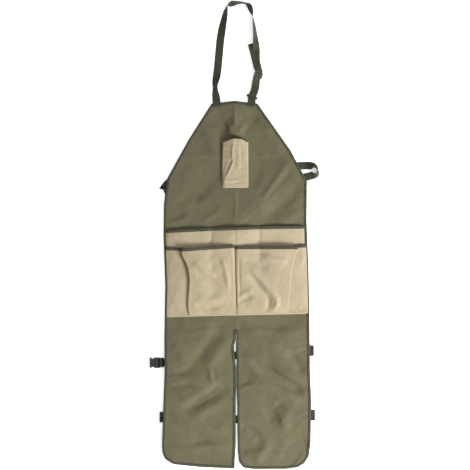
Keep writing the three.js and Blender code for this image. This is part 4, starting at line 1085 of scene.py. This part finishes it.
def sheet_row(G, row, group, lo=0.0, hi=1.0, thick=POCKET_CLOTH, **how):
    N = grid_normals(G)
    n = G.shape[1]
    a, b = int(lo * (n - 1)), int(hi * (n - 1)) + 1
    stitch_line(group, G[row, a:b] + N[row, a:b] * thick / 2, N[row, a:b], **how)


def sheet_col(G, col, group, lo=0.0, hi=1.0, thick=POCKET_CLOTH, **how):
    N = grid_normals(G)
    n = G.shape[0]
    a, b = int(lo * (n - 1)), int(hi * (n - 1)) + 1
    stitch_line(group, G[a:b, col] + N[a:b, col] * thick / 2, N[a:b, col], **how)


def row_at(G, back):
    """The row that lies about that far above the last one, in millimetres."""
    y = G[:, G.shape[1] // 2, 1]
    return int(np.abs(y - (y[-1] + back)).argmin())


sheet_row(UPPER_G, row_at(UPPER_G, 2.5), "tan", 0.02, 0.98)
for side in (-1, 1):
    sheet_row(LOWER_G[side], row_at(LOWER_G[side], 2.5), "tan", 0.02, 0.98)
for c in COMPARTMENTS:
    ys = np.linspace(mouth_y(c) - 10, POCKET_BOTTOM + 4, 90)
    z = upper_mid(np.full(90, c), ys) + POCKET_CLOTH / 2
    stitch_line("tan", np.column_stack([np.full(90, c), ys, z]), np.tile([0, 0, 1.0], (90, 1)), pitch=3.2, length=2.8, half=0.45)
for side in (-1, 1):
    g = LOWER_G[side]
    sheet_col(g, -3, "tan", 0.08, 1.0)
sheet_row(CHEST_G, row_at(CHEST_G, 5.0), "tan", 0.06, 0.94)
v = run_lengths(CHEST_G)[0, :, 0] * 1000
for d in (17.5, v[-1] - 17.5):
    sheet_col(CHEST_G, int(np.abs(v - d).argmin()), "tan", 0.0, 0.93, pitch=3.2, length=2.5, half=0.26)


# ---------------------------------------------------------------- webbing
WIDTH, THICK = 25.0, 1.2


class Place:
    """A flat place in space: heading of travel and tilt about it, in degrees."""

    def __init__(self, x, y, z, heading, tilt=0.0):
        h, t = math.radians(heading), math.radians(tilt)
        self.a = np.array([math.cos(h), math.sin(h), 0])
        side = np.array([self.a[1], -self.a[0], 0])
        face = np.cross(side, self.a)
        self.s = side * math.cos(t) + face * math.sin(t)
        self.f = face * math.cos(t) - side * math.sin(t)
        self.o = np.array([x, y, z], float)

    def at(self, u, off):
        return self.o + self.a * u + self.f * off


SLIDER = dict(width=31, length=23.2, bar=3.2, thick=2.0, ends=2.4)
SLIDER_AT = Place(76.0, 510.6, 11.8, 250, 28)
RING = dict(width=36, length=9.0, bar=2.9, thick=2.8)
RING_AT = Place(56.6, 441.6, 4.1, 250)
UNDER = 1.0 + 0.3 + 0.6
STEP = 1.5
ROUND = RING["thick"] * 0.72 + 0.3 + 0.6
RING_BAR = (RING["length"] - RING["bar"]) / 2


def row(px, py, z, tilt=0.0, w=WIDTH):
    return dict(xy=P(px, py), z=z, tilt=tilt, w=w)


def at_row(p, side, w=WIDTH):
    return dict(at=np.asarray(p, float), side=np.asarray(side, float), w=w)


def ribbon(name, rows, replaces, per=None, thick=THICK, wave=0.25, soft=True):
    """A strap through its rows, as the frame has it, on a smooth run with rolled edges."""
    centre = []
    for r in rows:
        if "at" in r:
            centre.append(r["at"])
            continue
        t = math.radians(r["tilt"])
        half = r["w"] / 2 * abs(math.sin(t)) + thick / 2 * abs(math.cos(t))
        centre.append(np.array([*r["xy"], r["z"] + half]))
    centre = np.array(centre)
    sides, before = [], None
    for i, r in enumerate(rows):
        way = centre[min(len(rows) - 1, i + 1)] - centre[max(0, i - 1)]
        way /= np.linalg.norm(way)
        side = r["side"].copy() if "side" in r else np.array([way[1], -way[0], 0])
        side /= np.linalg.norm(side)
        if before is not None and side @ before < 0:
            side = -side
        before = side
        face = np.cross(side, way)
        face /= np.linalg.norm(face)
        t = math.radians(0 if "at" in r else r["tilt"])
        sides.append(side * math.cos(t) + face * math.sin(t))
    sides = np.array(sides)
    w = np.array([r["w"] for r in rows])
    # even steps along a smooth curve through the rows
    per = per or 10
    full = spline(np.column_stack([centre, sides, w]), per)
    s = np.concatenate([[0], np.linalg.norm(np.diff(full[:, :3], axis=0), axis=1).cumsum()])
    keep = [0]
    for i in range(1, len(s)):
        if s[i] - s[keep[-1]] > (1.5) or i == len(s) - 1:
            keep.append(i)
    full, s = full[keep], s[keep]
    c, sd, ww = full[:, :3], full[:, 3:6], full[:, 6]
    way = np.gradient(c, axis=0)
    way /= np.linalg.norm(way, axis=1)[:, None] + 1e-12
    sd = sd - way * (sd * way).sum(1)[:, None]
    sd /= np.linalg.norm(sd, axis=1)[:, None]
    f = np.cross(sd, way)
    prof = [(-0.5, 0.0), (-0.488, 0.36), (-0.455, 0.5), (-0.33, 0.46), (-0.17, 0.5), (0, 0.47), (0.17, 0.5), (0.33, 0.46), (0.455, 0.5), (0.488, 0.36), (0.5, 0.0)]
    prof += [(u, -v) for u, v in prof[-2:0:-1]]
    fade = np.minimum(1, np.minimum(s, s[-1] - s) / 30)
    cup = 0.35 * np.sin(s / 41 + len(rows)) * fade * wave / 0.25
    S = np.stack([c + sd * (u * ww)[:, None] + f * (v * thick + cup * (1 - (2 * u) ** 2))[:, None] for u, v in prof], 1)
    S[..., 2] = np.maximum(S[..., 2], 0.05)
    uu = np.cumsum([0] + [math.hypot((prof[i + 1][0] - prof[i][0]) * WIDTH, (prof[i + 1][1] - prof[i][1]) * thick) for i in range(len(prof) - 1)])
    uv = np.stack(np.broadcast_arrays(uu[None, :] / 1000, s[:, None] / 1000), 2)
    ob = tube_mesh(name, S, WEB, uv)
    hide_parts(replaces)
    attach(ob, "root")
    return ob, (c, sd, f, s)


NECK = [
    (217.1, 106.6, 6.6, 0), (217.0, 105, 6.6, 0), (216.6, 101.6, 6.2, 0), (216.2, 97, 2.4, 8), (215.4, 91, 0.4, 44), (215.2, 86.5, 0.4, 50),
    (215.6, 82, 0.4, 32), (216.9, 75, 0.4, 8), (218, 66, 0.4, 0), (219.1, 54, 0.4, 0), (220.3, 41, 0.4, 4), (222, 30, 0.4, 16),
    (223.4, 23, 0.4, 32), (224.7, 16.5, 0.4, 42), (225.9, 11, 0.4, 60), (227, 6.8, 0.4, 78), (228.6, 4.4, 0.4, 102),
    (231.4, 4, 0.4, 134), (236, 3.3, 0.4, 117), (241, 3, 0.4, 103), (245.4, 3.6, 0.4, 98), (248.6, 5.2, 0.4, 122),
    (250.4, 8.6, 0.4, 128), (251.9, 12.8, 0.4, 112), (252.9, 17, 0.4, 88), (254.2, 26, 0.4, 69), (255.2, 35, 0.4, 58),
    (255.9, 43.5, 0.4, 36), (256.1, 51, 0.4, 12), (256.1, 59, 0.4, 4), (257.2, 67, 3.2, 20),
]
TAIL = [(257.7, 67.4, 5.6, -18), (255.6, 59.5, 3.6, -5), (253.8, 52, 3.2, -6), (251.7, 44.6, 3.6, -10)]


def threaded(low, shift):
    hi = low + 2 * UNDER + STEP
    steps = [(-13, low), (-8.0 + shift, low), (-3.4 + shift, hi), (3.4 - shift, hi), (8.0 - shift, low), (13, low)]
    return [at_row(SLIDER_AT.at(u, off), SLIDER_AT.s) for u, off in steps]


def round_bar(u, start, way):
    out = []
    for deg in (-90, -45, 0, 45, 90):
        t = math.radians(deg)
        out.append(at_row(RING_AT.at(u + way * ROUND * math.cos(t), start * ROUND * math.sin(t)), RING_AT.s))
    return out


neck_rows = [row(*r) for r in NECK] + threaded(-UNDER - STEP, 0.7)
neck_rows += [at_row(RING_AT.at(-RING_BAR - 24, -1.2), RING_AT.s), at_row(RING_AT.at(-RING_BAR - 8, -ROUND), RING_AT.s)]
neck_rows += round_bar(-RING_BAR, 1, 1)
neck_rows += [at_row(RING_AT.at(-RING_BAR - 8, ROUND), RING_AT.s), at_row(RING_AT.at(-RING_BAR - 24, ROUND + 0.4), RING_AT.s)]
neck_rows += threaded(-UNDER, 0)[::-1] + [row(*r) for r in TAIL[:-1]] + [at_row((*P(251.7, 43.7), 6.4), (-0.995, 0.02, 0.1), 26)]
NECK_STRAP, NECK_RUN = ribbon("neck_strap_webbing", neck_rows, "neck_strap", per=12)

tab_rows = [row(251.2, 106.2, 6.6), row(251.3, 104.6, 6.6), row(251.7, 101.4, 6.0)] + round_bar(RING_BAR, -1, -1)
tab_rows += [at_row(RING_AT.at(RING_BAR + 3, -ROUND), RING_AT.s), at_row(RING_AT.at(RING_BAR + 6.6, -ROUND + 0.5), RING_AT.s)]
NECK_TAB, TAB_RUN = ribbon("neck_tab_webbing", tab_rows, "neck_tab", per=12)

BELT_RIGHT = [
    (291.5, 166.8, 0.4, 0), (299, 166, 0.4, 0), (307, 165.7, 0.4, 2), (312, 165.9, 0.4, 24), (315.4, 166.7, 0.4, 60),
    (317.5, 169.3, 0.4, 78), (317.2, 172.7, 0.4, 68), (315, 174.7, 0.4, 32), (311.4, 175.7, 0.3, 4), (308, 176.5, 0.3, 0),
    (304.5, 177.5, 0.3, 0), (296, 181.2, 0.4, 0), (270, 195.8, 0.4, 0), (253.6, 208, 0.6, 0), (249.4, 211.4, 1.6, 0),
    (245.9, 213, 2.5, 0), (243.7, 213, 2.5, 0),
]
WAIST_RIGHT, _ = ribbon("waist_strap_right_webbing", [row(*r) for r in BELT_RIGHT], "waist_strap_right", per=12)
FOLD_SIDE = np.array([0.285, -0.958, 0])
FW = 39.0
belt_left = [row(176, 175.8, 2), row(166.9, 184.5, 2)]
belt_left += [at_row((-223.2, 141.6, 2.6), FOLD_SIDE, FW), at_row((-224.6, 141.2, 1.7), FOLD_SIDE, FW), at_row((-223.2, 140.8, 0.9), FOLD_SIDE, FW)]
belt_left += [row(*r) for r in ((167.6, 190.7, 0.3), (196, 199.6, 0.3), (216, 208.2, 0.6), (222, 211.8, 1.6), (226, 213, 2.5), (228.2, 213, 2.5))]
WAIST_LEFT, _ = ribbon("waist_strap_left_webbing", belt_left, "waist_strap_left", per=8, wave=0.0)

LEG_STRAPS = {
    "thigh_strap_left": [(237.5, 355.1, 0.3), (214, 357.6, 0.3), (198, 359.2, 0.8), (193.6, 359.6, 2.5), (190.4, 359.9, 2.5)],
    "thigh_strap_right": [(237.7, 355, 0.3), (268, 353, 0.3), (290, 351.5, 0.8), (294.6, 351, 2.5), (297.4, 350.95, 2.5)],
    "calf_strap_left": [(238.1, 419.3, 0.3), (206, 418, 0.3), (183.6, 417, 0.8), (179, 417, 2.5), (176.2, 417, 2.5)],
    "calf_strap_right": [(238.3, 419, 0.3), (268, 417, 0.3), (291, 415.6, 0.8), (295.6, 415.4, 2.5), (298.4, 415.35, 2.5)],
    "thigh_tab_left": [(156.9, 362.8, 2.6), (159, 362.7, 2.6), (161.3, 362.5, 2.6, 0, 30), (163.2, 362.4, 1.4, 0, 32), (165, 362.3, 0.3), (176, 361.4, 0.3)],
}
for node, rows in LEG_STRAPS.items():
    ribbon(node + "_webbing", [row(*r) for r in rows], node, per=14, wave=0.0)


# ---------------------------------------------------------------- plastic hardware
def rounded_plate(parts, w, l, r, z0, z1, at=(0, 0), holes=(), bevel=0.5, turn=0.0):
    """Adds a plate with rounded corners and eased edges to parts: (verts, faces)."""
    import bmesh

    bm = bmesh.new()
    ring = []
    for cx, cy, a0 in ((w / 2 - r, l / 2 - r, 0), (-w / 2 + r, l / 2 - r, 90), (-w / 2 + r, -l / 2 + r, 180), (w / 2 - r, -l / 2 + r, 270)):
        for k in range(6):
            t = math.radians(a0 + 90 * k / 5)
            ring.append(bm.verts.new((cx + r * math.cos(t), cy + r * math.sin(t), z0)))
    edges = [bm.edges.new((ring[i], ring[(i + 1) % len(ring)])) for i in range(len(ring))]
    for hx, hy, hw, hh in holes:
        hr = min(0.7, hw / 4, hh / 4)
        loop = []
        for cx, cy, a0 in ((hw / 2 - hr, hh / 2 - hr, 0), (-hw / 2 + hr, hh / 2 - hr, 90), (-hw / 2 + hr, -hh / 2 + hr, 180), (hw / 2 - hr, -hh / 2 + hr, 270)):
            for k in range(3):
                t = math.radians(a0 + 45 * k)
                loop.append(bm.verts.new((hx + cx + hr * math.cos(t), hy + cy + hr * math.sin(t), z0)))
        edges += [bm.edges.new((loop[i], loop[(i + 1) % len(loop)])) for i in range(len(loop))]
    bmesh.ops.triangle_fill(bm, edges=edges, use_beauty=True, use_dissolve=False)
    faces = list(bm.faces)
    for f in faces:
        f.normal_update()
        if f.normal.z > 0:
            f.normal_flip()
    ext = bmesh.ops.extrude_face_region(bm, geom=faces)
    new = [g for g in ext["geom"] if isinstance(g, bmesh.types.BMVert)]
    for v in new:
        v.co.z = z1
    bmesh.ops.recalc_face_normals(bm, faces=bm.faces)
    sharp = [e for e in bm.edges if len(e.link_faces) == 2 and e.calc_face_angle(0) > 1.0]
    if bevel:
        bmesh.ops.bevel(bm, geom=sharp, offset=bevel, segments=2, profile=0.6, affect="EDGES", clamp_overlap=True)
    base = len(parts[0])
    bm.verts.index_update()
    c, s = math.cos(math.radians(turn)), math.sin(math.radians(turn))
    for v in bm.verts:
        x, y = v.co.x, v.co.y
        parts[0].append((at[0] + x * c - y * s, at[1] + x * s + y * c, v.co.z))
    for f in bm.faces:
        parts[1].append([base + v.index for v in f.verts])
    bm.free()


def settle(parts, mat):
    """Applies a 3x4 placement to the points of parts."""
    v = np.array(parts[0])
    return v @ mat[:, :3].T + mat[:, 3]


def basis(place):
    return np.column_stack([place.s, place.a, place.f, place.o])


def flat_place(x, y, deg):
    c, s = math.cos(math.radians(deg)), math.sin(math.radians(deg))
    return np.array([[c, -s, 0, x], [s, c, 0, y], [0, 0, 1, 0]], float)


def hardware(name, parts, mat, replaces, **how):
    ob = make(name, settle(parts, mat), parts[1], BLACK, flat=False)
    for p in ob.data.polygons:
        p.use_smooth = p.area * 1e6 < 1.4
    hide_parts(replaces)
    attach(ob, "root")
    return ob


def plate_parts(d):
    parts = ([], [])
    slot_l = (d["length"] - 3 * d["bar"]) / 2
    hw = d["width"] - 2 * d["ends"]
    holes = [(0, d["bar"] / 2 + slot_l / 2, hw, slot_l), (0, -d["bar"] / 2 - slot_l / 2, hw, slot_l)]
    rounded_plate(parts, d["width"], d["length"], 4, -d["thick"] / 2, d["thick"] / 2, holes=holes, bevel=0.45)
    for k in range(-5, 6):  # grip ribs on the middle bar
        rounded_plate(parts, 0.8, d["bar"] * 0.7, 0.2, d["thick"] / 2 - 0.1, d["thick"] / 2 + 0.2, at=(k * 2.2, 0), bevel=0.1)
    return parts


hardware("neck_slider_plate", plate_parts(SLIDER), basis(SLIDER_AT), "neck_slider")
parts = ([], [])
rounded_plate(parts, RING["width"], RING["length"], 3.5, -RING["thick"] / 2, RING["thick"] / 2, holes=[(0, 0, 25.4, RING["length"] - 2 * RING["bar"])], bevel=0.9)
hardware("neck_ring_loop", parts, basis(RING_AT), "neck_ring")

H = 6.0


def female(parts, x0, x1, flip=1):
    """The socket half, from its mouth at x0 to its strap end at x1. x runs along the buckle."""
    def part(xa, xb, ya, yb, r, za, zb, bevel=0.5):
        xa, xb = (xa, xb) if flip > 0 else (-xb, -xa)
        rounded_plate(parts, xb - xa, yb - ya, r, za, zb, at=((xa + xb) / 2, (ya + yb) / 2), bevel=bevel)
    w = 33.5 / 2
    part(x0, x1 - 8, -w + 3.2, w - 3.2, 2.5, 4.6, H)  # top wall
    part(x0, x1 - 8, -w + 3.2, w - 3.2, 2.5, 0, 1.4)  # bottom wall
    part(x0, x0 + 5.5, -w, -w + 5, 1.6, 0, H)  # shoulders at the mouth
    part(x0, x0 + 5.5, w - 5, w, 1.6, 0, H)
    part(x0 + 13.5, x1, -w, -w + 4.4, 1.8, 0, H)  # cheeks behind the windows
    part(x0 + 13.5, x1, w - 4.4, w, 1.8, 0, H)
    part(x0 + 14.5, x1 - 8, -w + 2, w - 2, 1.5, 1.0, H - 0.9)  # core
    part(x1 - 2.6, x1, -w + 0.8, w - 0.8, 1.2, 0.3, H - 0.3, 0.8)  # strap bar
    for k in range(4):
        part(x0 + 7 + 3.4 * k, x0 + 8.6 + 3.4 * k, -6.5, 6.5, 0.4, H - 0.4, H + 0.18, 0.15)  # grip ribs


def male(parts, x0, x1, flip=1):
    """The pronged half: the tongue runs into the socket, from the strap end x0 to the shoulder x1."""
    def part(xa, xb, ya, yb, r, za, zb, bevel=0.5):
        xa, xb = (xa, xb) if flip > 0 else (-xb, -xa)
        rounded_plate(parts, xb - xa, yb - ya, r, za, zb, at=((xa + xb) / 2, (ya + yb) / 2), bevel=bevel)
    w = 33.5 / 2
    part(x1 - 7, x1, -w + 0.6, w - 0.6, 2, 0.1, H - 0.2, 0.8)  # body
    part(x0, x1 - 5, -w + 0.6, -w + 4.2, 1.4, 0.1, H - 0.2)  # frame sides
    part(x0, x1 - 5, w - 4.2, w - 0.6, 1.4, 0.1, H - 0.2)
    part(x0, x0 + 2.6, -w + 1.2, w - 1.2, 1.1, 0.4, H - 0.5, 0.8)  # strap bar
    part(x1 - 1, x1 + 13.4, -w + 0.2, -w + 3.6, 1.5, 1.5, 4.5)  # prongs, seen in the windows
    part(x1 - 1, x1 + 13.4, w - 3.6, w - 0.2, 1.5, 1.5, 4.5)
    part(x1 - 1, x1 + 12, -2.2, 2.2, 0.8, 1.7, 4.3)  # guide


def closed(name, x, y, deg, node, shut=True):
    parts = ([], [])
    male(parts, -29, -12)
    female(parts, -11.6, 29)
    if shut:  # the end away from the strap
        rounded_plate(parts, 8.4, 27.5, 1.0, 0.9, H - 1.0, at=(24.0, 0), bevel=0.4)
        for y0 in (-8, -4, 0, 4, 8):
            rounded_plate(parts, 5.0, 1.0, 0.3, H - 1.1, H - 0.7, at=(23.4, y0), bevel=0.1)
    return hardware(name, parts, flat_place(x, y, deg), node)


closed("waist_buckle_clip", 5, 69.9, 0, "waist_buckle", shut=False)
closed("thigh_buckle_right_clip", 225.3, -371, 1, "thigh_buckle_right")
closed("calf_buckle_right_clip", 228.8, -577.1, 1, "calf_buckle_right")
closed("calf_buckle_left_clip", -210.6, -582.9, 180, "calf_buckle_left")
parts = ([], [])
female(parts, -17.2, 17.2)
v = np.array(parts[0])
v[:, 2] *= 8.4 / 6.0
parts = (v.tolist(), parts[1])
hardware("thigh_buckle_left_socket", parts, flat_place(-253.6, -409.1, 0), "thigh_buckle_left")
parts = ([], [])
male(parts, -18, 2)
parts2 = (parts[0], parts[1])
hardware("thigh_clip_left_prongs", parts2, flat_place(-153.4, -401.1, 185), "thigh_clip_left")


# ---------------------------------------------------------------- sewn ends of the straps
def box_stitch(px, py, across, along, heading, top, group="dark"):
    """A sewn box with a cross in it, on a strap that lies flat. heading: degrees of its length."""
    c = P(px, py)
    h = math.radians(heading)
    a, s = np.array([math.cos(h), math.sin(h)]), np.array([-math.sin(h), math.cos(h)])
    k = [c + a * u * along / 2 + s * v * across / 2 for u, v in ((-1, -1), (1, -1), (1, 1), (-1, 1))]
    for p, q in ((0, 1), (1, 2), (2, 3), (3, 0), (0, 2), (1, 3)):
        n = 16
        line = np.array([k[p] + (k[q] - k[p]) * i / n for i in range(n + 1)])
        stitch_line(group, np.column_stack([line, top(line)]), np.tile([0, 0, 1.0], (n + 1, 1)), pitch=2.8, length=2.2, half=0.26)


def on_strap(run, thick=THICK):
    c, sd, f, t = run
    def top(line):
        d = np.linalg.norm(c[None, :, :2] - line[:, None, :2], axis=2)
        d[:, c[:, 2] > 14] = 1e9
        near = c[d.argmin(1)]
        return near[:, 2] + thick / 2 + 0.05
    return top


box_stitch(217.0, 104.2, 19, 12, 86, on_strap(NECK_RUN))
box_stitch(251.4, 103.6, 19, 11, 84, on_strap(TAB_RUN))

# the bar tack that closes the slit's upper end
for i in range(11):
    p, q = P(234.95, 331.3 + 0.27 * i), P(237.75, 331.3 + 0.27 * i)
    line = np.array([p + (q - p) * k / 14 for k in range(15)])
    z = ground(line[:, 0], line[:, 1], 0.75) + CLOTH / 2 + 0.12 + TAPE_THICK * 1.1
    stitch_line("dark", np.column_stack([line, z]), np.tile([0, 0, 1.0], (15, 1)), pitch=2.9, length=2.8, half=0.42, offset=0.05)

DARK_SEAMS = sew("dark", "olive_stitching", THREAD_DARK)
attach(DARK_SEAMS, "root")
TAN_SEAMS = sew("tan", "tan_stitching", THREAD_TAN)
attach(TAN_SEAMS, "root")


def flat_of(G):
    r = run_lengths(G)
    return float(r[..., 0].max()), float(r[..., 1].max())


def area_of(G):
    a = np.linalg.norm(np.cross(G[1:, :-1] - G[:-1, :-1], G[:-1, 1:] - G[:-1, :-1]), axis=2).sum()
    return float(a) / 1e6


print("flat sizes", [(n, [round(v, 4) for v in flat_of(g)], round(area_of(g), 5)) for n, g in (("upper", UPPER_G), ("left", LOWER_G[-1]), ("right", LOWER_G[1]), ("chest", CHEST_G))])

# ---------------------------------------------------------------- floor, light and camera
floor = bpy.data.meshes.new("floor")
floor.from_pydata([(-30, -30, 0), (30, -30, 0), (30, 30, 0), (-30, 30, 0)], [], [(0, 1, 2, 3)])
FLOOR = bpy.data.objects.new("floor", floor)
bpy.context.scene.collection.objects.link(FLOOR)
fm, nt, b = nodes_of("pale_floor", 0.9, 0, 0.1)
b.inputs["Base Color"].default_value = (0.93, 0.93, 0.93, 1)
b.inputs["Emission Color"].default_value = (1, 1, 1, 1)
b.inputs["Emission Strength"].default_value = 0.55
floor.materials.append(fm)

scene = bpy.context.scene
world = bpy.data.worlds.new("studio")
scene.world = world
world.use_nodes = True
bg = world.node_tree.nodes["Background"]
bg.inputs[0].default_value = (1, 1, 1, 1)
bg.inputs[1].default_value = 0.42


def area_light(name, place, aim, size, power, colour=(1, 1, 1)):
    d = bpy.data.lights.new(name, "AREA")
    d.shape = "RECTANGLE"
    d.size, d.size_y = size
    d.energy = power
    d.color = colour
    o = bpy.data.objects.new(name, d)
    o.location = place
    o.rotation_euler = (Vector(aim) - Vector(place)).to_track_quat("-Z", "Y").to_euler()
    scene.collection.objects.link(o)
    return o


area_light("key", (2.1, -1.55, 1.45), (0, -0.1, 0), (1.0, 1.0), 170)
area_light("fill", (1.2, 2.2, 2.6), (0, 0.1, 0), (2.2, 2.2), 36)

scene.view_settings.view_transform = "Standard"
scene.view_settings.look = "None"

cam_data = bpy.data.cameras.new("camera")
cam_data.sensor_width = 36
cam_data.sensor_fit = "HORIZONTAL"
cam_data.lens = 200
VIEW = 470 * PX / 1000
cam_data.clip_end = 60
CAM = bpy.data.objects.new("camera", cam_data)
CAM.location = (0.00176, -0.00048, VIEW * cam_data.lens / 36)
CAM.rotation_euler = (0, 0, 0)
scene.collection.objects.link(CAM)
scene.camera = CAM
